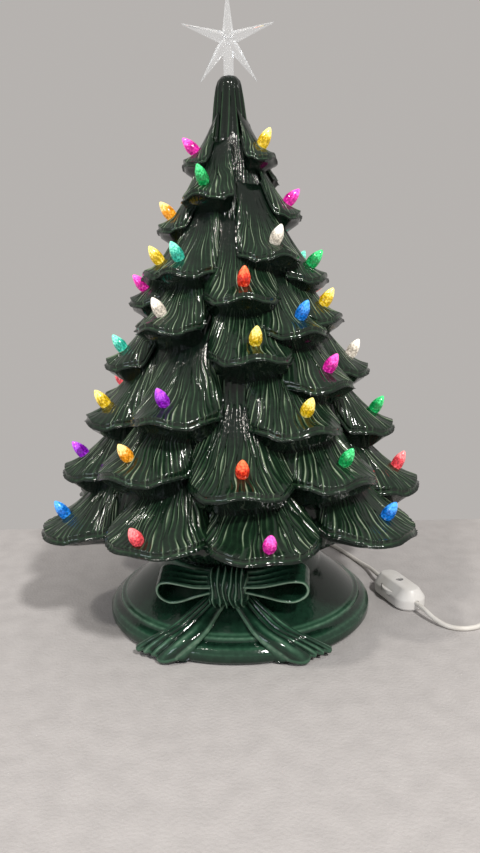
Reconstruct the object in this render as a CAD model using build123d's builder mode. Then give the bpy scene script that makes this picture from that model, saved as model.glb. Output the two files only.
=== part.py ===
from build123d import *
import math
import os

# Ceramic table-top Christmas tree: a hollow cast tree of scalloped boughs stands on a cast
# base with a moulded bow. Plug-in plastic bulbs and a star pass on the light of one small
# lamp, whose holder snaps into the base. The lead leaves at the back and has a switch.
# Millimetres, +Z up, the front towards -Y, the origin on the table under the base.

os.makedirs("parts", exist_ok=True)

# Tree casting
tree_height = 438.0
tree_wall = 4.5
tree_foot_radius = 62.0
skirt_radius = 98.0
skirt_rise = 20.0
body_low_radius = 114.0
body_low_rise = 50.0
body_top_radius = 23.0
flare_length = 30.0
spire_low_radius = 14.5
spire_length = 40.0
spire_top_radius = 10.7
spire_dome = 8.0
foot_ring_height = 4.0

# Boughs: sizes at the lowest seat of a bulb and at the highest one
seat_height_low = 102.0
seat_drop_top = 57.0
seat_radius_low = 144.0
seat_radius_top = 27.0
overhang_low = 22.0
overhang_top = 13.0
half_width_low = 46.0
half_width_top = 23.0
tip_drop_low = 8.0
tip_drop_top = 6.0
tip_thickness = 7.0
top_slope_low = 0.68
top_slope_high = 1.30
top_sweep = 0.90
under_slope = 0.65

# Boughs of the lowest tier: flatter underneath, and shorter where they hang over the bow
lowest_tier_share = 0.05
lowest_under_slope = 0.20
over_bow_turn = 40.0
over_bow_share = 0.45

# Cross sections of a bough from its root to its lip: distance and width, as shares of the
# seat radius and of the half width, then the tip's width, the height of the side corners
# and the place where the underside stops falling
station_shares = ((0.57, 0.68), (0.79, 0.94), (1.0, 1.0))
tip_width_share = 0.30
corner_height_share = 0.42
under_end_share = 0.79
hollow_width_share = 0.62
hollow_face_share = 1.15

# Every bough: degrees round from the front, seat height as a share of the way from the
# lowest seat to the highest, lean of its bulb in degrees, colour of its bulb
bough_shares = (
    (-72, -0.014, 33, "blue"),
    (-29, 0.004, 36, "pink"),
    (8, 0.0, 36, "magenta"),
    (50, 0.014, 34, "blue"),
    (114, 0.0, 36, "green"),
    (156, 0.0, 36, "orange"),
    (-155, 0.0, 36, "yellow"),
    (-119, 0.0, 36, "red"),
    (-82, 0.143, 42, "purple"),
    (-40, 0.19, 38, "orange"),
    (1.5, 0.168, 36, "red"),
    (38, 0.168, 36, "green"),
    (78, 0.093, 28, "pink"),
    (134, 0.158, 36, "yellow"),
    (168, 0.165, 36, "aqua"),
    (-157, 0.165, 36, "magenta"),
    (-123, 0.158, 36, "blue"),
    (-110, 0.33, 36, "pink"),
    (-71, 0.30, 35, "yellow"),
    (-29, 0.33, 36, "purple"),
    (27, 0.30, 36, "yellow"),
    (82, 0.255, 35, "green"),
    (128, 0.30, 36, "orange"),
    (165, 0.308, 36, "red"),
    (-150, 0.315, 36, "green"),
    (-83, 0.45, 35, "aqua"),
    (9.5, 0.48, 36, "yellow"),
    (45, 0.40, 36, "magenta"),
    (83, 0.42, 30, "clear"),
    (128, 0.427, 36, "purple"),
    (172, 0.45, 36, "orange"),
    (-140, 0.437, 36, "clear"),
    (-82, 0.624, 42, "magenta"),
    (-43, 0.555, 36, "clear"),
    (37, 0.54, 36, "blue"),
    (64, 0.57, 34, "yellow"),
    (110, 0.56, 36, "red"),
    (155, 0.55, 36, "green"),
    (-160, 0.57, 36, "yellow"),
    (-120, 0.55, 36, "purple"),
    (-64, 0.695, 36, "yellow"),
    (-40, 0.70, 36, "aqua"),
    (6, 0.63, 36, "red"),
    (70, 0.68, 42, "green"),
    (120, 0.688, 36, "aqua"),
    (170, 0.678, 36, "magenta"),
    (-130, 0.695, 36, "orange"),
    (-82, 0.824, 40, "orange"),
    (33, 0.738, 36, "clear"),
    (83, 0.856, 45, "magenta"),
    (140, 0.795, 40, "yellow"),
    (-160, 0.803, 40, "blue"),
    (-82, 1.0, 45, "magenta"),
    (-32, 0.903, 36, "green"),
    (69, 1.01, 30, "yellow"),
    (130, 0.964, 40, "red"),
    (-150, 0.946, 40, "clear"),
)

# Plug-in bulbs
bulb_length = 17.0
bulb_radius = 5.0
bulb_shoulder_radius = 3.3
bulb_tip_radius = 0.6
bulb_peg_radius = 2.0
bulb_peg_length = 9.0
bulb_peg_clearance = 0.2
bulb_seat_depth = 1.4
bulb_seat_clearance = 0.6
bulb_bore_length = 24.0
bulb_flank_shares = ((0.93, 0.14), (1.0, 0.33), (0.66, 0.68))

# Star
star_radius = 37.6
star_rise = 26.6
star_edge = 2.4
star_crown = 4.8
star_valley_share = 0.19
star_points = 5
star_stem_radius = 4.0
star_peg_radius = 2.8
star_peg_length = 14.0
star_peg_clearance = 0.3
star_seat_margin = 1.2

# Base casting
base_radius = 113.0
base_wall = 6.0
rim_chamfer = 3.0
rim_height = 9.0
rim_shoulder = 3.0
rim_shoulder_height = 12.5
step_radius = 104.0
step_bottom_height = 14.0
step_top_height = 18.5
step_cove = 3.0
bead_width = 4.0
dome_top_radius = 71.0
dome_top_height = 43.0
collar_radius = 66.0
plate_height = 56.0
ring_height = 6.0
ring_width = 5.0
ring_clearance = 0.8
notch_clearance = 1.5

# Bow moulded on the front of the base
bow_turn = -6.0
bow_distance = 90.0
bow_height = 47.5
bow_tilt = 20.0
bow_ribbon_depth = 19.0
bow_ribbon_thickness = 4.0
loop_start = 8.0
loop_end_left = 56.0
loop_end_right = 62.0
loop_half_height = 12.0
loop_rise = 2.0
knot_width = 27.0
knot_height = 28.0
knot_round = 7.0
knot_front = 5.0
knot_back = 12.0
tail_thickness = 6.0
tail_hem_thickness = 10.0
tail_sink = 2.5
tail_start_radius = 84.0
tail_start_width = 15.0
tail_end_width = 34.0
tail_end_height = 2.0
tail_start_turn = 7.0
tail_end_turn_left = 27.0
tail_end_turn_right = 32.0
tail_station_shares = (0.0, 0.4, 0.75)

# Lamp holder
holder_radius = 12.8
holder_clearance = 0.6
holder_flange_radius = 17.0
holder_flange_height = 2.5
holder_drop = 22.0
holder_rise = 15.0
holder_floor_rise = 3.0
sleeve_wall = 0.6
sleeve_gap = 0.25
sleeve_length = 13.0
contact_radius = 3.6
contact_height = 1.2
clip_thickness = 0.6
clip_width = 7.0
clip_gap = 0.1
clip_top_rise = 11.0
clip_knee_rise = 3.5
clip_reach = 4.0
clip_foot_gap = 0.2

# Lamp
cap_radius = 5.9
cap_length = 15.0
cap_clearance = 0.35
cap_tip_radius = 2.4
cap_tip_length = 1.6
glass_neck_radius = 5.2
glass_radius = 11.0
glass_length = 37.0
glass_wall = 0.8
glass_tip_radius = 1.6
glass_belly_share = 0.42
glass_shoulder_shares = (0.75, 0.5)
glass_flank_shares = (0.667, 0.6)
stem_radius = 2.2
stem_length = 9.0
stem_taper = 5.0
filament_wire = 0.35
filament_spread = 5.0
filament_rise = 9.0

# Lead
cord_diameter = 4.0
cord_hole_clearance = 0.2
cord_entry_depth = 7.0
corner_run_share = 0.45
inside_route = (
    (0.0, 5.8, 36.0),
    (0.0, 24.0, 36.0),
    (0.0, 46.0, 28.0),
    (0.0, 69.0, 12.5),
    (0.0, 92.0, 2.0),
    (0.0, 114.0, 2.0),
)
lead_route = (
    (0.0, 114.0, 2.0),
    (0.0, 138.0, 2.0),
    (17.0, 161.0, 2.0),
    (46.0, 171.0, 2.0),
    (77.0, 161.0, 2.0),
    (100.0, 136.0, 2.0),
    (112.0, 108.0, 2.0),
    (121.0, 83.0, 2.0),
    (128.0, 60.0, 4.5),
    (129.97, 36.15, 8.0),
    (135.37, 19.029, 8.0),
)

# Switch
switch_centre = (142.0, -2.0)
switch_turn = -72.5
switch_length = 58.0
switch_width = 28.0
switch_bottom_height = 8.0
switch_top_height = 8.0
switch_edge = 2.5
switch_pad_height = 2.5
switch_pad_inset = 6.0
wheel_proud = 1.4
wheel_thickness = 4.0
wheel_gap = 0.3
wheel_bore_radius = 3.0
wheel_rim_round = 0.8
screw_radius = 1.6
screw_head_radius = 3.2
screw_head_height = 1.6
screw_recess = 0.6
screw_clearance = 0.3
post_radius = 2.6

# Lead from the switch to the coil
run_route = (
    (148.63, -23.029, 8.0),
    (153.442, -38.288, 8.0),
    (159.0, -51.5, 4.5),
    (168.0, -62.0, 2.0),
    (180.0, -66.0, 2.0),
    (191.5, -63.0, 2.0),
    (201.0, -55.0, 2.0),
    (210.0, -47.0, 2.0),
    (221.0, -41.5, 2.4),
    (238.0, -38.0, 3.4),
    (256.0, -38.0, 3.4),
)

# Coil of the spare lead and its tie
coil_centre = (260.0, -5.0)
coil_outer_radius = 33.0
coil_pitch = 4.7
coil_layer_pitch = 4.6
coil_quarters_each_way = 15
coil_exit_quarters = -1
tie_thickness = 1.0
tie_width = 5.0
tie_gap = 0.4
tie_turn = 200.0

# Plug
plug_length = 30.0
plug_width = 25.0
plug_thickness = 16.0
plug_neck = 11.0
plug_edge = 3.0
plug_grip_share = 0.62
plug_grip_width_share = 0.72
blade_length = 16.0
blade_width = 6.4
blade_thickness = 1.5
blade_spacing = 12.7
blade_hole_radius = 1.6
blade_hole_setback = 4.0
blade_root = 5.0
blade_gap = 0.1
tail_route = (
    (291.825, -1.0, 8.0),
    (291.825, 12.0, 8.0),
    (291.0, 28.0, 6.0),
    (290.0, 44.0, 8.0),
    (290.0, 57.0, 8.0),
)

# One overrun serves all cuts
overrun = 2.0

tree_foot_height = plate_height
spire_low_height = tree_height - spire_length
body_top_height = spire_low_height - flare_length
seat_height_top = tree_height - seat_drop_top
cord_radius = cord_diameter / 2
holder_hole_radius = holder_radius + holder_clearance


def between(low, high, share):
    """A size at a share of the way from its low value to its high value."""
    return low + (high - low) * share


def out_from_axis(radius, height):
    """A point straight in front of the axis."""
    return (0, -radius, height)


# Tree: the core, turned about the axis


def tree_core(inset, foot_overrun):
    """The body and spire without boughs; an inset gives the hollow inside it."""
    foot = tree_foot_height - foot_overrun
    outline = (
        (0, foot),
        (tree_foot_radius - inset, foot),
        (tree_foot_radius - inset, tree_foot_height + foot_ring_height),
        (skirt_radius - inset, tree_foot_height + skirt_rise + inset),
        (body_low_radius - inset, tree_foot_height + body_low_rise),
        (body_top_radius - inset, body_top_height),
        (spire_low_radius - inset, spire_low_height),
        (spire_top_radius - inset, tree_height - spire_dome),
        (max(spire_top_radius - spire_dome, star_stem_radius + star_seat_margin) - inset, tree_height - inset),
        (0, tree_height - inset),
    )
    with BuildPart() as core:
        with BuildSketch(Plane.XZ):
            with BuildLine():
                Polyline(*outline, close=True)
            make_face()
        revolve(axis=Axis.Z)
    return core.part


# Tree: the boughs, each a loft through lens-shaped sections


def lens(radius, half_width, top, bottom):
    """A section across a bough: an arched top over a keeled underside."""
    corner = between(bottom, top, corner_height_share)
    across = Plane(out_from_axis(radius, 0), x_dir=(1, 0, 0), z_dir=(0, -1, 0))
    with BuildSketch(across) as section:
        with BuildLine():
            ThreePointArc((-half_width, corner), (0, top), (half_width, corner))
            ThreePointArc((half_width, corner), (0, bottom), (-half_width, corner))
        make_face()
    return section.sketch


def seat_point(share):
    """Distance from the axis and height of the place where a bulb sits."""
    radius = between(seat_radius_low, seat_radius_top, share)
    return radius, between(seat_height_low, seat_height_top, share)


def bough(turn, share, wall):
    """One bough; a wall gives the hollow inside it, which stops short of the tip."""
    seat_radius, seat_height = seat_point(share)
    lowest = share < lowest_tier_share
    reach_share = over_bow_share if lowest and abs(turn) < over_bow_turn else 1
    fall = lowest_under_slope if lowest else under_slope
    half_width = between(half_width_low, half_width_top, share) * (hollow_width_share if wall else 1)
    slope = between(top_slope_low, top_slope_high, share)
    tip_radius = seat_radius + reach_share * between(overhang_low, overhang_top, share)
    tip_height = seat_height - reach_share * between(tip_drop_low, tip_drop_top, share)
    sections = []
    for radius_share, width_share in station_shares:
        radius = radius_share * seat_radius
        inward = seat_radius - radius
        top = seat_height + slope * inward + top_sweep * inward**2 / seat_radius - hollow_face_share * wall
        run = tip_radius - max(radius, under_end_share * seat_radius)
        bottom = tip_height - tip_thickness - fall * run + hollow_face_share * wall
        sections.append(lens(radius, width_share * half_width, top, bottom))
    if not wall:
        tip = lens(tip_radius, tip_width_share * half_width, tip_height, tip_height - tip_thickness)
        sections.append(tip)
    with BuildPart() as solid:
        loft(sections)
    return solid.part.rotate(Axis.Z, turn)


# Bulbs: the seat plane of each one leans out with its bough


def bulb_place(turn, share, lean):
    """The plane on which a bulb's shoulder rests, sunk below the top of its bough."""
    seat_radius, seat_height = seat_point(share)
    out = math.sin(math.radians(lean))
    up = math.cos(math.radians(lean))
    turned = math.radians(turn)
    radius = seat_radius - bulb_seat_depth * out
    origin = (radius * math.sin(turned), -radius * math.cos(turned), seat_height - bulb_seat_depth * up)
    axis = (out * math.sin(turned), -out * math.cos(turned), up)
    return Plane(origin, x_dir=(math.cos(turned), math.sin(turned), 0), z_dir=axis).location


with BuildPart() as bulb:
    with BuildSketch(Plane.XZ):
        with BuildLine():
            low, belly, flank = [(r * bulb_radius, h * bulb_length) for r, h in bulb_flank_shares]
            Polyline(
                (0, -bulb_peg_length),
                (bulb_peg_radius, -bulb_peg_length),
                (bulb_peg_radius, 0),
                (bulb_shoulder_radius, 0),
            )
            ThreePointArc((bulb_shoulder_radius, 0), low, belly)
            ThreePointArc(belly, flank, (bulb_tip_radius, bulb_length))
            Polyline((bulb_tip_radius, bulb_length), (0, bulb_length), (0, -bulb_peg_length))
        make_face()
    revolve(axis=Axis.Z)

with BuildPart() as bulb_bore:
    with BuildSketch(Plane.XZ):
        with BuildLine():
            bore_radius = bulb_peg_radius + bulb_peg_clearance
            seat_radius = bulb_radius + bulb_seat_clearance
            Polyline(
                (0, -bulb_bore_length),
                (bore_radius, -bulb_bore_length),
                (bore_radius, 0),
                (seat_radius, 0),
                (seat_radius, bulb_length),
                (0, bulb_length),
                close=True,
            )
        make_face()
    revolve(axis=Axis.Z)

places_by_colour = {}
for turn, share, lean, colour in bough_shares:
    places_by_colour.setdefault(colour, []).append(bulb_place(turn, share, lean))

for colour, places in places_by_colour.items():
    with BuildPart() as bulbs:
        with Locations(*places):
            add(bulb.part)
    bulbs.part.label = f"bulbs_{colour}"
    export_step(bulbs.part, f"parts/bulbs_{colour}.step")

with BuildPart() as tree:
    add(tree_core(0, 0))
    add([bough(turn, share, 0) for turn, share, lean, colour in bough_shares], clean=False)
    hollows = [bough(turn, share, tree_wall) for turn, share, lean, colour in bough_shares]
    bores = [place * bulb_bore.part for places in places_by_colour.values() for place in places]
    add([tree_core(tree_wall, overrun)] + hollows + bores, mode=Mode.SUBTRACT, clean=False)
    with Locations((0, 0, tree_height)):
        Hole(star_peg_radius + star_peg_clearance, depth=star_peg_length + overrun)

# A cut through so many faces can leave a crumb, so only the casting itself is kept
with BuildPart() as casting:
    add(tree.solids().sort_by(SortBy.VOLUME)[-1])
casting.part.label = "tree"
export_step(casting.part, "parts/tree.step")
print("tree solids", len(casting.solids()), "volume", round(casting.part.volume))

# Star: a faceted plate of five points on a stem and a peg

star_height = tree_height + star_rise
star_centre_plane = Plane((0, 0, star_height), x_dir=(1, 0, 0), z_dir=(0, -1, 0))
half_edge = star_edge / 2
corners = []
for step in range(2 * star_points):
    angle = math.radians(90 + step * 180 / star_points)
    corner_radius = star_radius * (star_valley_share if step % 2 else 1)
    corners.append((corner_radius * math.cos(angle), corner_radius * math.sin(angle)))


def star_outline(offset):
    """The star's outline on a plane in front of or behind its middle."""
    with BuildSketch(star_centre_plane.offset(offset)) as outline:
        with BuildLine():
            Polyline(*corners, close=True)
        make_face()
    return outline.sketch


with BuildPart() as star:
    loft([star_outline(half_edge), Vertex(0, -half_edge - star_crown, star_height)], ruled=True)
    loft([star_outline(-half_edge), Vertex(0, half_edge + star_crown, star_height)], ruled=True)
    extrude(star_outline(half_edge), amount=-star_edge)
    with BuildSketch(Plane.XY.offset(tree_height)):
        Circle(star_stem_radius)
    extrude(amount=star_rise)
    with BuildSketch(Plane.XY.offset(tree_height)):
        Circle(star_peg_radius)
    extrude(amount=-star_peg_length)
star.part.label = "star"
export_step(star.part, "parts/star.step")

# Base: the casting, open underneath, with the cord's notch at the back

ring_radius = tree_foot_radius - tree_wall - ring_clearance
plate_bottom = plate_height - base_wall
outer_outline = (
    (base_radius - rim_chamfer, 0),
    (base_radius, rim_chamfer),
    (base_radius, rim_height),
    (base_radius - rim_shoulder, rim_shoulder_height),
    (step_radius + step_cove, step_bottom_height),
    (step_radius, step_top_height),
    (step_radius - bead_width, step_top_height),
    (dome_top_radius, dome_top_height),
    (collar_radius, plate_height),
)
top_outline = (
    (ring_radius, plate_height),
    (ring_radius, plate_height + ring_height),
    (ring_radius - ring_width, plate_height + ring_height),
    (ring_radius - ring_width, plate_height),
    (holder_hole_radius, plate_height),
    (holder_hole_radius, plate_bottom),
)
inner_outline = (
    (collar_radius - base_wall, plate_bottom),
    (dome_top_radius - base_wall, dome_top_height - base_wall),
    (step_radius - bead_width - base_wall, step_top_height - base_wall),
    (base_radius - base_wall, rim_height - rim_chamfer),
    (base_radius - base_wall, 0),
)


def outside_height(radius):
    """Height of the base's outer face at a distance from the axis."""
    for (near, low), (far, high) in zip(outer_outline[2:], outer_outline[3:]):
        if far <= radius <= near:
            return between(low, high, (near - radius) / (near - far))
    return 0


bow_axis = math.radians(bow_turn)
bow_out = (math.sin(bow_axis), -math.cos(bow_axis))
bow_across = (math.cos(bow_axis), math.sin(bow_axis), 0)
tilt = math.radians(bow_tilt)
bow_normal = (bow_out[0] * math.cos(tilt), bow_out[1] * math.cos(tilt), -math.sin(tilt))
bow_origin = (bow_distance * bow_out[0], bow_distance * bow_out[1], bow_height)
bow_plane = Plane(bow_origin, x_dir=bow_across, z_dir=bow_normal)


def loop_outline(side, inset):
    """A teardrop of ribbon, its point at the knot and its round end outwards."""
    reach = loop_end_left if side < 0 else loop_end_right
    start = side * (loop_start + 2 * inset)
    end = side * (reach - inset)
    middle = side * (reach - loop_half_height)
    half = loop_half_height - inset
    with BuildLine() as teardrop:
        Line((start, -inset / 2), (middle, loop_rise - half))
        ThreePointArc((middle, loop_rise - half), (end, loop_rise), (middle, loop_rise + half))
        Line((middle, loop_rise + half), (start, inset / 2))
        if inset:
            Line((start, inset / 2), (start, -inset / 2))
    return teardrop.line


def tail_turn(side, share):
    """Degrees round from the front of a place along a ribbon tail."""
    end_turn = tail_end_turn_left if side < 0 else tail_end_turn_right
    return bow_turn + side * between(tail_start_turn, end_turn, share)


def tail_section(side, share):
    """A section across a ribbon tail where it lies on the base or hangs over its rim."""
    radius = between(tail_start_radius, base_radius + tail_sink, share)
    width = between(tail_start_width, tail_end_width, share)
    turned = math.radians(tail_turn(side, share))
    out = Vector(math.sin(turned), -math.cos(turned), 0)
    across = Vector(math.cos(turned), math.sin(turned), 0)
    height = outside_height(min(radius, base_radius))
    origin = out * radius + Vector(0, 0, height - tail_sink)
    with BuildSketch(Plane(origin, x_dir=across, z_dir=out)) as section:
        with BuildLine():
            Line((-width / 2, 0), (width / 2, 0))
            ThreePointArc((width / 2, 0), (0, tail_thickness), (-width / 2, 0))
        make_face()
    return section.sketch


def tail_hem(side):
    """The end of a ribbon tail, which hangs down the rim to the table."""
    turned = math.radians(tail_turn(side, 1))
    out = Vector(math.sin(turned), -math.cos(turned), 0)
    across = Vector(math.cos(turned), math.sin(turned), 0)
    origin = out * (base_radius - tail_sink) + Vector(0, 0, tail_end_height)
    with BuildSketch(Plane(origin, x_dir=across, z_dir=(0, 0, 1))) as section:
        with BuildLine():
            Line((-tail_end_width / 2, 0), (tail_end_width / 2, 0))
            ThreePointArc(
                (tail_end_width / 2, 0),
                (0, -tail_hem_thickness - tail_sink),
                (-tail_end_width / 2, 0),
            )
        make_face()
    return section.sketch


with BuildPart() as base:
    with BuildSketch(Plane.XZ):
        with BuildLine():
            Polyline(*outer_outline, *top_outline, *inner_outline, close=True)
        make_face()
    revolve(axis=Axis.Z)
    for side in (-1, 1):
        with BuildSketch(bow_plane):
            with BuildLine():
                add(loop_outline(side, 0))
            make_face()
            with BuildLine():
                add(loop_outline(side, bow_ribbon_thickness))
            make_face(mode=Mode.SUBTRACT)
        extrude(amount=-bow_ribbon_depth)
        loft([tail_section(side, share) for share in tail_station_shares] + [tail_hem(side)])
    with BuildSketch(bow_plane.offset(knot_front)):
        RectangleRounded(knot_width, knot_height, knot_round)
    extrude(amount=-knot_front - knot_back)
    with BuildSketch(Plane.XY):
        Circle(dome_top_radius - base_wall)
    extrude(amount=dome_top_height - base_wall, mode=Mode.SUBTRACT)
    with BuildSketch(Plane.XZ.offset(-base_radius - overrun)):
        with BuildLine():
            half_notch = cord_radius + notch_clearance
            Polyline((half_notch, cord_radius), (half_notch, 0), (-half_notch, 0), (-half_notch, cord_radius))
            ThreePointArc(
                (-half_notch, cord_radius),
                (0, cord_radius + half_notch),
                (half_notch, cord_radius),
            )
        make_face()
    extrude(amount=2 * base_wall + overrun, mode=Mode.SUBTRACT)
base.part.label = "base"
export_step(base.part, "parts/base.step")

# Lamp holder: a turned body with its flange under the plate

holder_bottom = plate_bottom - holder_drop
holder_top = plate_height + holder_rise
sleeve_radius = cap_radius + cap_clearance + sleeve_wall
well_radius = sleeve_radius + sleeve_gap
well_floor = holder_top - sleeve_length - holder_floor_rise
cord_hole_radius = cord_radius + cord_hole_clearance
cord_entry_height = inside_route[0][2]
with BuildPart() as holder:
    with BuildSketch(Plane.XZ):
        with BuildLine():
            Polyline(
                (0, holder_bottom),
                (holder_radius, holder_bottom),
                (holder_radius, plate_bottom - holder_flange_height),
                (holder_flange_radius, plate_bottom - holder_flange_height),
                (holder_flange_radius, plate_bottom),
                (holder_radius, plate_bottom),
                (holder_radius, holder_top),
                (well_radius, holder_top),
                (well_radius, well_floor),
                (0, well_floor),
                close=True,
            )
        make_face()
    revolve(axis=Axis.Z)
    with BuildSketch(Plane.XZ.offset(-holder_radius - overrun)):
        with Locations((0, cord_entry_height)):
            Circle(cord_hole_radius)
    extrude(amount=cord_entry_depth + overrun, mode=Mode.SUBTRACT)
holder.part.label = "lamp_holder"
export_step(holder.part, "parts/lamp_holder.step")

with BuildPart() as sleeve:
    with BuildSketch(Plane.XY.offset(holder_top - sleeve_length)):
        Circle(sleeve_radius)
        Circle(sleeve_radius - sleeve_wall, mode=Mode.SUBTRACT)
    extrude(amount=sleeve_length)
    with BuildSketch(Plane.XY.offset(well_floor)):
        with Locations((0, sleeve_radius - sleeve_wall / 2)):
            Rectangle(contact_radius, sleeve_wall)
    extrude(amount=holder_floor_rise)
sleeve.part.label = "screw_sleeve"
export_step(sleeve.part, "parts/screw_sleeve.step")

with BuildPart() as contact:
    with BuildSketch(Plane.XY.offset(well_floor)):
        Circle(contact_radius)
    extrude(amount=contact_height)
    chamfer(contact.faces().sort_by(Axis.Z)[-1].edges(), contact_height / 2)
contact.part.label = "centre_contact"
export_step(contact.part, "parts/centre_contact.step")

# Spring clips: bent strips that catch on the top of the plate

clip_side = holder_radius + clip_gap
clip_foot = holder_hole_radius + clip_reach
with BuildPart() as clips:
    for side in (-1, 1):
        with BuildSketch(Plane.XZ.offset(-clip_width / 2)):
            with BuildLine():
                Polyline(
                    (side * clip_side, plate_height + clip_top_rise),
                    (side * (clip_side + clip_thickness), plate_height + clip_top_rise),
                    (side * clip_foot, plate_height + clip_knee_rise),
                    (side * (clip_foot - clip_reach / 2), plate_height + clip_foot_gap),
                    (side * (clip_foot - clip_reach / 2 - clip_thickness), plate_height + clip_foot_gap),
                    (side * (clip_foot - clip_thickness), plate_height + clip_knee_rise),
                    (side * clip_side, plate_height + clip_top_rise - clip_knee_rise),
                    close=True,
                )
            make_face()
        extrude(amount=clip_width)
clips.part.label = "spring_clips"
export_step(clips.part, "parts/spring_clips.step")

# Lamp: metal cap, glass envelope and the filament on its stem

cap_bottom = well_floor + contact_height + cap_tip_length
cap_top = cap_bottom + cap_length
with BuildPart() as cap:
    with BuildSketch(Plane.XY.offset(cap_bottom)):
        Circle(cap_radius)
    extrude(amount=cap_length)
    with BuildSketch(Plane.XY.offset(cap_bottom - cap_tip_length)):
        Circle(cap_tip_radius)
    extrude(amount=cap_tip_length)
cap.part.label = "lamp_cap"
export_step(cap.part, "parts/lamp_cap.step")


def envelope_outline(wall):
    """Half the lamp's flame shape beside its axis; a wall gives the space inside it."""
    bottom = cap_top + wall
    belly = cap_top + glass_belly_share * glass_length
    top = cap_top + glass_length - wall
    neck = (glass_neck_radius - wall, bottom)
    widest = (glass_radius - wall, belly)
    out_share, up_share = glass_shoulder_shares
    shoulder = (between(neck[0], widest[0], out_share), between(bottom, belly, up_share))
    out_share, up_share = glass_flank_shares
    flank = (widest[0] * out_share, between(belly, top, up_share))
    with BuildLine() as outline:
        Line((0, bottom), neck)
        Spline(neck, shoulder, widest, flank, (glass_tip_radius - wall, top))
        Polyline((glass_tip_radius - wall, top), (0, top), (0, bottom))
    return outline.line


with BuildPart() as lamp_glass:
    with BuildSketch(Plane.XZ):
        with BuildLine():
            add(envelope_outline(0))
        make_face()
        with BuildLine():
            add(envelope_outline(glass_wall))
        make_face(mode=Mode.SUBTRACT)
    revolve(axis=Axis.Z)
lamp_glass.part.label = "lamp_glass"
export_step(lamp_glass.part, "parts/lamp_glass.step")

stem_bottom = cap_top + glass_wall
with BuildPart() as stem:
    with BuildSketch(Plane.XY.offset(stem_bottom)):
        Circle(stem_radius)
    extrude(amount=stem_length, taper=stem_taper)
stem.part.label = "lamp_stem"
export_step(stem.part, "parts/lamp_stem.step")

with BuildPart() as filament:
    stem_top = stem_bottom + stem_length
    wire_end = stem_top + filament_rise
    for side in (-1, 1):
        with BuildSketch(Plane.XY.offset(stem_top)):
            with Locations((side * filament_wire * 2, 0)):
                Circle(filament_wire)
        with BuildSketch(Plane.XY.offset(wire_end)):
            with Locations((side * filament_spread, 0)):
                Circle(filament_wire)
        loft()
    with BuildSketch(Plane.YZ.offset(-filament_spread)):
        with Locations((0, wire_end)):
            Circle(filament_wire)
    extrude(amount=2 * filament_spread)
filament.part.label = "lamp_filament"
export_step(filament.part, "parts/lamp_filament.step")

# Lead: tubes along straight runs joined by arcs as large as the runs allow


def corner_radii(points):
    """One radius for each inner point: as large as the shorter of its two runs allows."""
    vectors = [Vector(*point) for point in points]
    radii = []
    for before, here, after in zip(vectors, vectors[1:], vectors[2:]):
        arriving = here - before
        leaving = after - here
        half_turn = math.radians(arriving.get_angle(leaving)) / 2
        radii.append(corner_run_share * min(arriving.length, leaving.length) / math.tan(half_turn))
    return radii


def cord_tube(points, name):
    """A stretch of the lead as a round tube, with its radii and volume printed."""
    radii = corner_radii(points)
    with BuildPart() as stretch:
        with BuildLine() as path:
            FilletPolyline(*points, radius=radii)
        route = path.wire()
        with BuildSketch(Plane(route @ 0, z_dir=route % 0)):
            Circle(cord_radius)
        sweep()
    length = route.length
    ratio = stretch.part.volume / (math.pi * cord_radius**2 * length)
    print(name, "length", round(length, 1), "least radius", round(min(radii), 1), "volume", round(ratio, 4))
    stretch.part.label = name
    export_step(stretch.part, f"parts/{name}.step")


cord_tube(inside_route, "cord_inside")
cord_tube(lead_route, "cord_lead")
cord_tube(run_route, "cord_run")
cord_tube(tail_route, "cord_tail")

# Switch: two moulded halves, the thumb wheel between them and the screw that holds them

switch_angle = math.radians(switch_turn)
switch_plane = Plane(
    (switch_centre[0], switch_centre[1], 0),
    x_dir=(math.cos(switch_angle), math.sin(switch_angle), 0),
    z_dir=(0, 0, 1),
)
wheel_radius = switch_width / 2 + wheel_proud
wheel_bottom = switch_bottom_height + wheel_gap
wheel_room = wheel_thickness + 2 * wheel_gap
switch_height = switch_bottom_height + switch_top_height
head_bottom = switch_height + switch_pad_height - screw_recess - screw_head_height
screw_end = switch_bottom_height / 2
cord_ends_plane = Plane(
    (switch_centre[0], switch_centre[1], switch_bottom_height),
    x_dir=(-math.sin(switch_angle), math.cos(switch_angle), 0),
    z_dir=(math.cos(switch_angle), math.sin(switch_angle), 0),
)


with BuildPart() as cord_entries:
    for side in (-1, 1):
        with BuildSketch(cord_ends_plane.offset(side * (switch_length / 2 + overrun))):
            Circle(cord_hole_radius)
        extrude(amount=-side * (cord_entry_depth + overrun))

with BuildPart() as switch_bottom:
    with BuildSketch(switch_plane):
        SlotOverall(switch_length, switch_width)
    extrude(amount=switch_bottom_height)
    chamfer(switch_bottom.faces().sort_by(Axis.Z)[0].edges(), switch_edge)
    with BuildSketch(switch_plane.offset(screw_end)):
        Circle(screw_radius)
    extrude(amount=switch_bottom_height, mode=Mode.SUBTRACT)
    add(cord_entries.part, mode=Mode.SUBTRACT)
switch_bottom.part.label = "switch_bottom"
export_step(switch_bottom.part, "parts/switch_bottom.step")

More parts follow.
